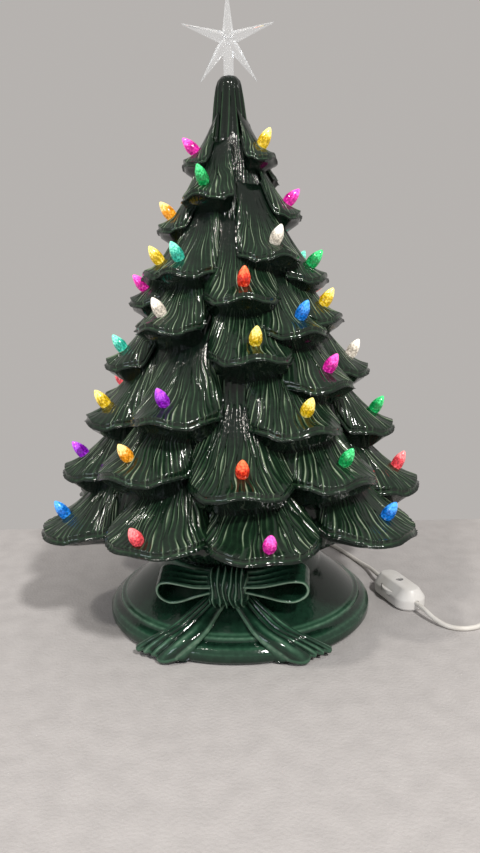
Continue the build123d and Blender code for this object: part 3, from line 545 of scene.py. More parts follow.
def bough_grid(bough, draw):
    """Corner points of a bough's grid, with its crest values: across, outwards and up."""
    root_top, root_under = bough.root(bough.top), bough.root(bough.bottom)
    outline = bough_outline(bough, max(min(root_top, root_under), bough.stations[0]))
    columns, fraction, ridge_of = ridge_columns(smooth_line(outline, 2)[1], bough.spacing, draw)
    lip_line = smooth_line(outline, columns)[0]
    tangent = np.gradient(lip_line, axis=0)
    tangent /= np.linalg.norm(tangent, axis=1)[:, None]
    outward = np.column_stack([-tangent[:, 1], tangent[:, 0]])
    strength = draw.uniform(*RIDGE_STRENGTHS, ridge_of[-1] + 2)
    phase = draw.uniform(0, math.tau, ridge_of[-1] + 2)
    height = (1 - fraction) * strength[ridge_of] + fraction * strength[ridge_of + 1]
    flute = 1 - np.sin(math.pi * fraction)
    share = 1 - 2 * columns

    def ray(root_radius, run):
        """Points along every column's way from the trunk to the lip."""
        first = np.column_stack([ROOT_FAN * lip_line[0, 0] * share, np.zeros_like(share)])
        first[:, 1] = np.sqrt(np.maximum(root_radius**2 - first[:, 0] ** 2, 1e-8))
        bend = first + (lip_line - first) * np.array(WAY_BEND)
        t = run[:, None, None]
        return (1 - t) ** 2 * first + 2 * t * (1 - t) * bend + t**2 * lip_line

    run = np.linspace(0, 1, TOP_ROWS)[:, None] ** ROW_CROWDING
    plan = ray(root_top, run[:, 0])
    waver = np.sin(math.tau * (WAVER_TURNS[0] * run + WAVER_STEP * ridge_of) + phase[0])
    waver = waver + WAVER_SECOND * np.sin(math.tau * WAVER_TURNS[1] * run + phase[ridge_of // 2])
    waver = waver * (4 * run * (1 - run)) * WAVER_SIZE * bough.spacing
    plan[:, :, 0] += waver * outward[:, 1]
    plan[:, :, 1] -= waver * outward[:, 0]
    upper = bough.faces(plan[:, :, 0], plan[:, :, 1])[0]
    fade = FADE_MEAN + FADE_SWING * np.sin(math.tau * FADE_TURNS * run + phase[ridge_of])
    fade = fade * (1 - TIP_LOSS * rise(run, *TIP_FADE) ** 2) * np.clip(run / ROOT_FADE, WEAKEST, 1)
    ripple = bough.ridge * height * fade * (flute - 0.5)
    upper = upper + ripple
    crest = flute**CREST_SHARPNESS * np.clip(height * fade * CREST_GAIN, 0, 1)
    # Painted shade: the crest values fall towards the root, where the tier above overhangs the bough.
    shade = ROOT_SHADE_DARKEST + (1 - ROOT_SHADE_DARKEST) * rise(run, *ROOT_SHADE) ** ROOT_SHADE_POWER
    crest = (CREST_LEAST + crest) * shade
    top_grid = np.dstack([plan, upper])

    step = (plan[-1] - plan[-3]) * outward
    slope = (upper[-3] - ripple[-3] - upper[-1] + ripple[-1]) / np.maximum(step.sum(1), 1e-5)
    tilt = np.arctan(np.clip(slope, 0, STEEPEST_LIP))
    lean = np.column_stack([np.sin(tilt)[:, None] * outward, np.cos(tilt)])
    hub = top_grid[-1] - lean * (bough.lip + ripple[-1])[:, None]
    down = np.linspace(0, 1, LIP_ROWS + 2)[1:-1, None]
    turns = (math.pi / 2 - tilt) * (1 - down) - math.pi / 2 * down
    bulge = bough.lip + ripple[-1] * (1 - down)
    swell = (bulge * np.cos(turns))[:, :, None] * outward
    lip_grid = np.dstack([hub[:, :2] + swell, hub[:, 2] + bulge * np.sin(turns)])
    # Painted shade: over the lip the crest values fall as it turns down and under.
    lip_crest = crest[-1] * np.clip(LIP_SHADE[0] + LIP_SHADE[1] * np.sin(turns), 0, 1)
    # Painted highlight: a pale line low on the lip's roll, on top of the glaze breaking there.
    edge = np.exp(-(((np.sin(turns) - LIP_LINE[0]) / LIP_LINE[1]) ** 2))
    lip_crest = np.maximum(lip_crest, edge * (LIP_LINE_PALE[0] + LIP_LINE_PALE[1] * strength[ridge_of]))

    back = np.linspace(1, 0, UNDER_ROWS)[:, None]
    plan = ray(root_under, back[:, 0])
    under = bough.faces(plan[:, :, 0], plan[:, :, 1])[1]
    under_at_lip = hub[:, 2] - bough.lip
    under = np.where(back == 1, under_at_lip, np.minimum(under, under_at_lip + UNDER_SLACK))
    grid = np.concatenate([top_grid, lip_grid, np.dstack([plan, under])])
    side = np.clip(1 - np.minimum(columns, 1 - columns) / SIDE_SHARE, 0, 1) ** SIDE_ROUNDING
    sink = SIDE_SINK * bough.half_width * side
    grid[:, :, 2] -= np.concatenate([run, np.ones((LIP_ROWS, 1)), back]) * sink
    # The underside takes crest 0, the darkest glaze: painted shade under the lip.
    return grid, np.concatenate([crest, lip_crest, np.zeros(under.shape)])


sample = bough_grid(Bough(seats[0]), np.random.default_rng(1))[0]
print("one bough has", sample.shape[0], "rows and", sample.shape[1], "columns")

# %% Skins of points
MERGE = 1e-7
SPIN_MERGE = 1e-6


def grid_faces(rows, columns, wrap, first=0):
    """Quads between neighbouring rows and columns; wrap joins the last column to the first."""
    quads = []
    for row in range(first, first + (rows - 1) * columns, columns):
        for column in range(columns if wrap else columns - 1):
            right = (column + 1) % columns
            quads.append((row + column, row + right, row + columns + right, row + columns + column))
    return quads


def tube_faces(rings, around):
    """Quads round a stack of rings, and a face over each end."""
    ends = [tuple(range(around)), tuple((rings - 1) * around + c for c in range(around))]
    return grid_faces(rings, around, True) + ends


def make_active(piece):
    """Selects a piece alone, for the operators that work on it."""
    bpy.ops.object.select_all(action="DESELECT")
    piece.select_set(True)
    bpy.context.view_layer.objects.active = piece


def set_values(mesh, name, values):
    """Gives every point of a mesh a number, for its material."""
    values = np.asarray(values, np.float32).ravel()
    mesh.attributes.new(name, "FLOAT", "POINT").data.foreach_set("value", values)


def make_mesh(name, points, faces, material, crest=None, wound=False, edges=(), spin=0):
    """A smooth mesh from points and faces, or from edges spun about the Z axis in some steps.

    Unless the faces are wound already, the normals are turned outwards.
    """
    mesh = bpy.data.meshes.new(name)
    mesh.from_pydata([tuple(p) for p in points], edges, faces)
    if crest is not None:
        set_values(mesh, "crest", crest)
    mesh.materials.append(material)
    piece = bpy.data.objects.new(name, mesh)
    bpy.context.collection.objects.link(piece)
    make_active(piece)
    bpy.ops.object.mode_set(mode="EDIT")
    bpy.ops.mesh.select_all(action="SELECT")
    if spin:
        bpy.ops.mesh.spin(steps=spin, angle=math.tau, center=(0, 0, 0), axis=(0, 0, 1))
        bpy.ops.mesh.select_all(action="SELECT")
    bpy.ops.mesh.remove_doubles(threshold=SPIN_MERGE if spin else MERGE)
    if not wound:
        bpy.ops.mesh.normals_make_consistent(inside=False)
    bpy.ops.object.mode_set(mode="OBJECT")
    bpy.ops.object.shade_smooth()
    return piece


def closing_faces(rows, columns, first=0):
    """The faces that close a grid folded back on itself: its left side, its right side and its root."""
    left = tuple(first + r * columns for r in range(rows))
    right = tuple(first + r * columns + columns - 1 for r in reversed(range(rows)))
    below = tuple(first + (rows - 1) * columns + c for c in range(columns))
    above = tuple(first + c for c in reversed(range(columns)))
    return [left, right, below + above]


def hand_over(piece, body, node):
    """Gives a finished piece its body, and hides the CAD node it stands in for."""
    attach(piece, body)
    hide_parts(node)
    print(piece.name, len(piece.data.polygons), "faces")


print("mesh helpers ready")

# %% Boughs in tiers
TIER_SHARES = (0.08, 0.23, 0.36, 0.51, 0.62, 0.76, 0.88)
FIRST_SEED = 1000
SEEDS_PER_RADIAN = 500
SEEDS_PER_METRE = 9000

tiers = {}
for seat in sorted(seats, key=lambda s: (round(s.height, 4), round(s.turn, 4))):
    bough = Bough(seat)
    tiers.setdefault(sum(bough.share > limit for limit in TIER_SHARES) + 1, []).append((seat, bough))

for tier, members in sorted(tiers.items()):
    points, crests, faces = [], [], []
    for seat, bough in members:
        seed = int(FIRST_SEED + SEEDS_PER_RADIAN * seat.turn + SEEDS_PER_METRE * seat.height)
        grid, crest = bough_grid(bough, np.random.default_rng(seed))
        rows, columns = crest.shape
        first = sum(len(p) for p in points)
        faces += grid_faces(rows, columns, False, first) + closing_faces(rows, columns, first)
        out = np.array([math.sin(seat.turn), -math.cos(seat.turn), 0])
        across = np.array([math.cos(seat.turn), math.sin(seat.turn), 0])
        local = grid.reshape(-1, 3)
        points.append(local[:, :1] * across + local[:, 1:2] * out + local[:, 2:] * np.array([0, 0, 1]))
        crests.append(crest.ravel())
    piece = make_mesh(f"boughs_tier_{tier}", np.vstack(points), faces, tree_glaze, np.concatenate(crests), wound=True)
    hand_over(piece, "tree", "tree")

# %% [markdown]
# ## Core and spire
# Behind the boughs is the hollow core. It is turned about the tree's axis: up the outside to the hole for the
# star, down through it, and down the inside to the foot. The spire shows, so its outside has soft flutes, which
# give way to finer ones between the boughs.

# %% Core
CORE_COLUMNS = 480
CORE_ROWS = 110
SPIRE_FLUTES = 15
SPIRE_START = (0.372, 0.022)
BODY_FLUTES = 96
FLUTE_DEPTH = 0.0018
FLUTE_LEVEL = 0.6
FLUTE_WANDER = 0.10
FLUTE_END = (0.434, 0.014)
CORE_PALE = 0.6
STAR_HOLE = 0.0031
CORE_SKIN = (
    *CORE_OUTLINE[:4],
    (0.068, 0.2385),
    *CORE_OUTLINE[4:6],
    (0.0107, 0.4275),
    (0.0094, 0.4335),
    (0.0052, 0.438),
    (STAR_HOLE, 0.438),
)
CORE_INSIDE = (
    (STAR_HOLE, 0.420), (0.008, 0.414), (0.010, 0.398), (0.0185, 0.368), (0.1095, 0.106),
    (0.0935, 0.0805), (0.0575, 0.060), (0.0575, 0.056),
)

profile = np.vstack([smooth_line(CORE_SKIN, CORE_ROWS)[0], CORE_INSIDE])
height = profile[:, 1:2]
angle = np.linspace(0, math.tau, CORE_COLUMNS, endpoint=False)[None, :]
warp = angle + FLUTE_WANDER * np.sin(2 * angle + 1.0) + FLUTE_WANDER * np.sin(40 * height + 3 * angle)
spire = rise(height, *SPIRE_START)
spire_flute, body_flute = (1 - np.abs(np.sin(0.5 * count * warp)) for count in (SPIRE_FLUTES, BODY_FLUTES))
flute = spire * spire_flute + (1 - spire) * body_flute
outside = (np.arange(len(profile)) < CORE_ROWS)[:, None]
show = np.clip((FLUTE_END[0] - height) / FLUTE_END[1], 0, 1) * outside
radius = profile[:, :1] + FLUTE_DEPTH * show * (flute - FLUTE_LEVEL)
points = np.dstack([radius * np.sin(angle), -radius * np.cos(angle), np.repeat(height, CORE_COLUMNS, 1)])
crest = flute**3 * show * CORE_PALE
faces = grid_faces(len(profile), CORE_COLUMNS, True)
last = (len(profile) - 1) * CORE_COLUMNS
for column in range(CORE_COLUMNS):
    right = (column + 1) % CORE_COLUMNS
    faces.append((last + column, last + right, right, column))
core = make_mesh("tree_core", points.reshape(-1, 3), faces, tree_glaze, crest)
hand_over(core, "tree", "tree")

# %% [markdown]
# ## Bulbs
# The bulbs are clear coloured plastic with a flame-shaped head, moulded with a twist of facets; painted glints
# of noise make them sparkle. One bulb is skinned from rings that turn a little as they rise, and copied to every
# seat. The lamp's light comes up the peg, so the plastic glows; that glow is painted in with emission, most of
# all near the tip and the shoulder.

# %% Bulb finish
BULB_COLOURS = {
    "aqua": ((0.030, 0.45, 0.33), (0.28, 0.88, 0.66)),
    "blue": ((0.005, 0.16, 0.58), (0.09, 0.42, 0.95)),
    "clear": ((0.66, 0.60, 0.51), (1.0, 0.95, 0.86)),
    "green": ((0.006, 0.30, 0.075), (0.08, 0.70, 0.24)),
    "magenta": ((0.66, 0.012, 0.33), (1.0, 0.15, 0.64)),
    "orange": ((0.85, 0.34, 0.010), (1.0, 0.80, 0.33)),
    "pink": ((0.80, 0.070, 0.095), (1.0, 0.30, 0.30)),
    "purple": ((0.27, 0.008, 0.50), (0.58, 0.10, 0.88)),
    "red": ((0.74, 0.032, 0.012), (1.0, 0.22, 0.08)),
    "yellow": ((0.70, 0.47, 0.008), (1.0, 0.89, 0.30)),
}
DARK_SHARE = 0.55
SPARKLE = 0.35
GLOW = (0.25, 0.70)


def make_bulb_plastic(colour):
    """Lit, see-through plastic of one colour, brightest where the light attribute is 1."""
    tint, glow = BULB_COLOURS[colour]
    material, shader = start_material(
        f"bulb_{colour}", Roughness=0.14, IOR=1.49, Transmission_Weight=0.22, Coat_Weight=0.3, Coat_Roughness=0.05
    )
    light = add_node(material, "ShaderNodeAttribute", attribute_name="light")
    # Painted glints: fine noise that brightens the plastic's colour and glow in specks.
    glint_noise = add_noise(material, scale=620.0, detail=1.0)
    sparkle = remap(material, glint_noise, -SPARKLE, SPARKLE, **{"From Min": 0.3, "From Max": 0.7})
    glint = add_up(material, light.outputs["Fac"], sparkle)
    dark = tuple(DARK_SHARE * t for t in tint)
    body = add_ramp(material, glint, ((0.0, dark), (0.45, tint), (1.0, glow)))
    # Painted glow: the emission stands in for the lamp's light that comes up the peg.
    link(body, shader.inputs["Base Color"])
    link(body, shader.inputs["Emission Color"])
    link(remap(material, glint, *GLOW), shader.inputs["Emission Strength"])
    return material


bulb_plastic = {colour: make_bulb_plastic(colour) for colour in BULB_COLOURS}
print("bulb colours:", len(bulb_plastic))

# %% Bulbs
BULB_OUTLINE = (
    (0.0020, -0.0088), (0.0020, -0.0002), (0.0034, 0.0002), (0.0043, 0.0016), (0.0049, 0.0040),
    (0.0050, 0.0060), (0.0047, 0.0085), (0.0039, 0.0112), (0.0027, 0.0138), (0.0014, 0.0159),
    (0.0005, 0.0168),
)
BULB_COLUMNS = 24
BULB_LOBES = 8
BULB_TWIST = 1.5
LOBE_DEPTH = 0.13
LOBE_LIGHT = 0.35
DARK_BAND = 0.38
BAND_LIGHT = 1.15
BAND_LEVEL = 0.05
TIP_LIGHT = 0.25

profile = np.array(BULB_OUTLINE)
head = np.clip(profile[:, 1:2] / BULB_LENGTH, 0, 1)
angle = np.linspace(0, math.tau, BULB_COLUMNS, endpoint=False)
lobe = np.abs(np.sin(0.5 * BULB_LOBES * (angle + BULB_TWIST * head)))
depth = LOBE_DEPTH * np.sin(math.pi * np.clip(head * 1.05, 0, 1))
radius = profile[:, :1] * (1 - depth + depth * lobe)
height = np.repeat(profile[:, 1:2], BULB_COLUMNS, 1)
bulb_points = np.dstack([radius * np.cos(angle), radius * np.sin(angle), height]).reshape(-1, 3)
bulb_light = np.clip(BAND_LIGHT * np.abs(head - DARK_BAND) + LOBE_LIGHT * lobe - BAND_LEVEL, 0, 1)
bulb_light = np.where(head > 0.5, np.clip(bulb_light + TIP_LIGHT, 0, 1), bulb_light)
bulb_faces = tube_faces(len(profile), BULB_COLUMNS)

for colour in sorted(bulb_plastic):
    points, faces, lights = [], [], []
    for seat in [s for s in seats if s.colour == colour]:
        first = len(points) * len(bulb_points)
        turn = Vector((0, 0, 1)).rotation_difference(seat.axis).to_matrix() @ Matrix.Rotation(seat.turn * 3, 3, "Z")
        points.append(bulb_points @ np.array(turn).T + np.array(seat.shoulder))
        faces += [tuple(first + v for v in face) for face in bulb_faces]
        lights.append(bulb_light.ravel())
    piece = make_mesh(f"bulbs_lit_{colour}", np.vstack(points), faces, bulb_plastic[colour])
    set_values(piece.data, "light", np.concatenate(lights))
    hand_over(piece, "tree", f"bulbs_{colour}")

# %% [markdown]
# ## Star
# The star is one clear moulding with five long points, each a ridge between two facets, on a short stem with a
# peg. Its CAD solid already has those facets, so it keeps its shape and gets a clear acrylic, which glows a
# little because the lamp shines up the spire into it; that glow is painted in as a faint emission.

# %% Star
clear_acrylic, shader = start_material(
    "clear_acrylic",
    Base_Color=(0.97, 0.98, 0.98, 1.0),
    Roughness=0.04,
    IOR=1.49,
    Transmission_Weight=0.93,
    # Painted glow: a faint emission for the lamp's light up the spire.
    Emission_Color=(0.97, 0.98, 1.0, 1.0),
    Emission_Strength=0.07,
)
ripple = add_noise(clear_acrylic, scale=120.0, detail=2.0)
add_bump(clear_acrylic, shader, ripple, strength=0.15, distance=0.0004)
finish_node("star", clear_acrylic)
print("star finish:", clear_acrylic.name)

# %% [markdown]
# ## Base
# The base is turned: a rounded foot, a broad flange, a ring moulding, and a dome that rises to the collar under
# the tree. Its outline is drawn once as a chain of edges and spun about the axis, and a bevel rounds what would
# be sharp, as glaze does. A round cutter opens the notch at the back for the lead.

# %% Base
BASE_OUTLINE = (
    (0.110, 0.000), (0.113, 0.003), (0.113, 0.009), (0.110, 0.0125), (0.107, 0.014), (0.1045, 0.0155),
    (0.104, 0.0182), (0.100, 0.0187), (0.0985, 0.0205), (0.085, 0.0325), (0.071, 0.043), (0.068, 0.049),
    (0.066, 0.056), (0.0567, 0.056), (0.0567, 0.062), (0.0517, 0.062), (0.0517, 0.056), (0.0134, 0.056),
    (0.0134, 0.050), (0.060, 0.050), (0.065, 0.037), (0.094, 0.0125), (0.107, 0.006), (0.107, 0.000),
)
BASE_STEPS = 144
NOTCH_RADIUS = 0.0035
# Pale lines on the edges of the ring mouldings and the foot: glaze breaking there, made brighter as painted
# highlights.
PALE_RINGS = (
    (0.104, 0.0182, 0.7), (0.100, 0.0187, 0.6), (0.110, 0.0125, 0.45), (0.113, 0.009, 0.35),
    (0.066, 0.056, 0.6),
)
PALE_LEAST = 0.12
PALE_REACH = 0.0022


def apply_modifier(piece, kind, **settings):
    """Adds a modifier with these settings and applies it."""
    make_active(piece)
    modifier = piece.modifiers.new(kind.lower(), kind)
    for key, value in settings.items():
        setattr(modifier, key, value)
    bpy.ops.object.modifier_apply(modifier=modifier.name)


count = len(BASE_OUTLINE)
chain = [(i, (i + 1) % count) for i in range(count)]
dish = make_mesh("base_dish", [(r, 0, z) for r, z in BASE_OUTLINE], [], base_glaze, edges=chain, spin=BASE_STEPS)
apply_modifier(dish, "BEVEL", width=0.0012, segments=3, limit_method="ANGLE", angle_limit=math.radians(12))
bpy.ops.mesh.primitive_cylinder_add(
    vertices=32, radius=NOTCH_RADIUS, depth=0.03, location=(0, 0.110, 0.002), rotation=(math.pi / 2, 0, 0)
)
cutter = bpy.context.object
apply_modifier(dish, "BOOLEAN", object=cutter, operation="DIFFERENCE", solver="EXACT")
bpy.data.objects.remove(cutter)
bpy.ops.object.shade_smooth_by_angle(angle=math.radians(40))
places = np.array([v.co for v in dish.data.vertices])
ring_radius = np.hypot(places[:, 0], places[:, 1])
# Painted highlights with the glaze breaking pale along the moulding edges.
pale = np.full(len(places), PALE_LEAST)
for radius, height, value in PALE_RINGS:
    away = np.hypot(ring_radius - radius, places[:, 2] - height) / PALE_REACH
    pale = np.maximum(pale, value * np.exp(-(away**2)))
set_values(dish.data, "crest", pale)
hand_over(dish, "base", "base")

# %% [markdown]
# ## Bow
# The bow is moulded as gathered ribbon: two loops whose open eyes face the front, a knot with upright gathers,
# and two tails that flare over the rim in folds. Each loop is a ribbon section carried round a teardrop, and
# the gathers are ridges along it that die away from the knot.
# The pale lines on the gathers, edges and hems are glaze breaking there, raised further as painted highlights.

# %% Bow frame and loops
BOW_TURN = math.radians(-6.0)
BOW_DISTANCE = 0.090
BOW_HEIGHT = 0.0475
BOW_TILT = math.radians(20.0)
RIBBON_DEPTH = 0.019
RIBBON_HALF = 0.0013
LOOP_STRETCH = {-1: 0.97, 1: 1.08}
LOOP_LIFT = {-1: -0.0005, 1: 0.0035}
LOOP_LINE = (
    (0.004, 0.0026), (0.014, 0.0022), (0.026, -0.0012), (0.038, -0.0066), (0.047, -0.0086),
    (0.0542, -0.0050), (0.0562, 0.0020), (0.0530, 0.0090), (0.0450, 0.0116), (0.036, 0.0108),
    (0.025, 0.0086), (0.014, 0.0076), (0.004, 0.0072),
)
LOOP_STEPS = 72
LOOP_REACH = 0.056
LOOP_BULGE = 0.0035
LOOP_SET_BACK = 0.001
LOOP_GATHERS = 3
GATHER_HEIGHT = 0.0030
GATHER_LEAST = 0.0001
GATHER_FADE = 1.9
GATHER_CROWDING = 0.85
GATHER_LEVEL = 0.4
GATHER_SWAY = 0.22
GATHER_SHINE = 0.0012
NARROWEST = 0.62
SECTION_STEPS = 22
EDGE_STEPS = 6
# Paleness along the ribbon: glaze breaking on its gathers and edges, raised as painted highlights, strongest on the
# front edge.
OUTER_PALE = (0.20, 0.75)
INNER_PALE = 0.14
BACK_PALE = 0.6
FRONT_PALE = 0.95
BOW_SIDES = ((-1, "left"), (1, "right"))

bow_out = Vector((math.sin(BOW_TURN), -math.cos(BOW_TURN), 0))
bow_across = Vector((math.cos(BOW_TURN), math.sin(BOW_TURN), 0))
bow_normal = bow_out * math.cos(BOW_TILT) - Vector((0, 0, math.sin(BOW_TILT)))
bow_up = bow_normal.cross(bow_across)
bow_origin = bow_out * BOW_DISTANCE + Vector((0, 0, BOW_HEIGHT))


def on_bow(points):
    """Bow coordinates (across, up, forwards) to the row frame."""
    axes = np.array([bow_across, bow_up, bow_normal])
    return np.asarray(points) @ axes + np.array(bow_origin)


def ribbon_section(depth, gather, phase):
    """Round a ribbon's section: (back from the front edge, out from its middle, crest)."""
    fine = np.linspace(0, 1, SECTION_STEPS)
    ridge = 1 - np.abs(np.sin(math.pi * (LOOP_GATHERS * fine**GATHER_CROWDING + phase)))
    pale = OUTER_PALE[0] + OUTER_PALE[1] * ridge**1.2 * np.clip(gather / GATHER_SHINE, 0, 1)
    outer = np.column_stack([fine * depth, RIBBON_HALF + gather * (ridge - GATHER_LEVEL), pale])
    inner = np.column_stack([fine[::-1] * depth, -RIBBON_HALF + 0 * fine, INNER_PALE + 0 * fine])
    turn = np.linspace(0, math.pi, EDGE_STEPS)[1:-1]
    sine, cosine = np.sin(turn), np.cos(turn)
    back = np.column_stack([depth + RIBBON_HALF * sine, RIBBON_HALF * cosine, BACK_PALE * sine])
    front = np.column_stack([-RIBBON_HALF * sine, -RIBBON_HALF * cosine, FRONT_PALE * sine**1.5])
    return np.vstack([outer, back, inner, front])


def bow_loop(side):
    """One loop of the bow."""
    line, _ = smooth_line(LOOP_LINE, LOOP_STEPS)
    along = np.gradient(line, axis=0)
    along /= np.linalg.norm(along, axis=1)[:, None]
    out = np.column_stack([along[:, 1], -along[:, 0]])
    rows, crests = [], []
    for step, (place, normal) in enumerate(zip(line, out)):
        share = step / (LOOP_STEPS - 1)
        from_knot = np.clip(place[0] / LOOP_REACH, 0, 1)
        depth = RIBBON_DEPTH * (NARROWEST + (1 - NARROWEST) * from_knot**0.6)
        gather = GATHER_HEIGHT * (1 - from_knot) ** GATHER_FADE + GATHER_LEAST
        section = ribbon_section(depth, gather, 0.10 + GATHER_SWAY * math.sin(6 * share + side))
        front = LOOP_BULGE * math.sin(math.pi * from_knot) - LOOP_SET_BACK
        flat = place + section[:, 1:2] * normal
        across = side * LOOP_STRETCH[side] * flat[:, 0]
        up = flat[:, 1] + LOOP_LIFT[side] * from_knot
        rows.append(np.column_stack([across, up, front - section[:, 0]]))
        crests.append(section[:, 2])
    return on_bow(np.vstack(rows)), tube_faces(len(rows), len(rows[0])), np.concatenate(crests)


for side, word in BOW_SIDES:
    points, faces, crest = bow_loop(side)
    piece = make_mesh(f"bow_loop_{word}", points, faces, base_glaze, crest)
    hand_over(piece, "base", "base")

# %% Bow knot
KNOT_HALF_WIDTH = 0.0156
KNOT_HALF_HEIGHT = 0.0158
KNOT_HALF_DEPTH = 0.0140
KNOT_MIDDLE = -0.0070
KNOT_CRESTS = (-0.98, -0.70, -0.36, -0.10, 0.22, 0.50, 0.78, 0.99)
KNOT_COLUMNS = 72
KNOT_ROWS = 81
KNOT_ENDS = (7, 0.33)
KNOT_SWELL = 0.17
KNOT_WAIST = 0.90
KNOT_FLARE = 0.12
# Paleness of the knot's gathers: glaze breaking there, raised as painted highlights.
KNOT_PALE = (0.20, 0.80)

turn = np.linspace(0, math.tau, KNOT_COLUMNS, endpoint=False)
place = np.linspace(-1, 1, KNOT_ROWS)[:, None]
barrel = (1 - np.abs(place) ** KNOT_ENDS[0]) ** KNOT_ENDS[1]
sway = place + 0.06 * np.sin(1.9 * np.sin(turn) + 0.6) + 0.05 * np.sin(4.5 * np.sin(turn) + 5 * place)
gaps = np.interp(np.clip(sway, -0.98, 0.98), KNOT_CRESTS, np.arange(len(KNOT_CRESTS)))
flute = 1 - np.sin(math.pi * (gaps % 1.0))
swell = 1 + KNOT_SWELL * (flute - 0.55) * np.clip(barrel * 1.2, 0, 1)
waist = KNOT_WAIST + KNOT_FLARE * np.abs(np.sin(turn)) ** 2 * (0.4 + 0.6 * place**2)
across = KNOT_HALF_WIDTH * place * (1 + (waist / 0.96 - 1) * np.clip(8 * barrel, 0, 1))
up = KNOT_HALF_HEIGHT * barrel * swell * np.sin(turn)
rings = np.dstack([across, up, KNOT_MIDDLE + KNOT_HALF_DEPTH * barrel * swell * np.cos(turn)])
# Painted highlights on top of the glaze breaking pale along the gathers.
crest = KNOT_PALE[0] + KNOT_PALE[1] * flute**1.7
faces = grid_faces(KNOT_ROWS, KNOT_COLUMNS, True)
knot = make_mesh("bow_knot", on_bow(rings.reshape(-1, 3)), faces, base_glaze, crest)
hand_over(knot, "base", "base")

# %% Bow tails
TAIL_LINE = (
    (0.079, 0.0430), (0.088, 0.0345), (0.098, 0.0268), (0.107, 0.0215), (0.1145, 0.0165),
    (0.1190, 0.0095), (0.1205, 0.0032),
)
TAIL_TURN = {
    -1: (math.radians(6.0), math.radians(27.0)),
    1: (math.radians(6.0), math.radians(32.0)),
}
TAIL_HALF_WIDTH = (0.0082, 0.0185)
TAIL_PLEATS = (
    (0.53, 0.50, 1.0, 1.0),
    (-0.06, 0.26, 0.78, 0.962),
    (-0.44, 0.24, 0.88, 0.950),
    (-0.82, 0.26, 0.76, 0.955),
)
TAIL_HEM = 0.0026
TAIL_SWING = 0.0026
TAIL_WAVES = 7.5
TAIL_ROWS = 44
TAIL_COLUMNS = 81
TAIL_STEPS = 200
TAIL_SWAY = 0.10
TAIL_LIFT = (0.0020, 0.0048)
HEM_SCALLOP = 0.065
# Paleness on the tails' ridges, edges and hem: glaze breaking there, raised as painted highlights.
HEM_PALE = 0.55
EDGE_PALE = 0.70
RIDGE_PALE = 0.60
EDGE_DROP = 0.0016
EDGE_GROW = 0.0012
CLEARANCE = 0.0006
TAIL_BED = (
    (0.066, 0.056), (0.071, 0.043), (0.085, 0.0325), (0.0985, 0.0205), (0.104, 0.0182), (0.110, 0.012),
    (0.114, 0.002),
)


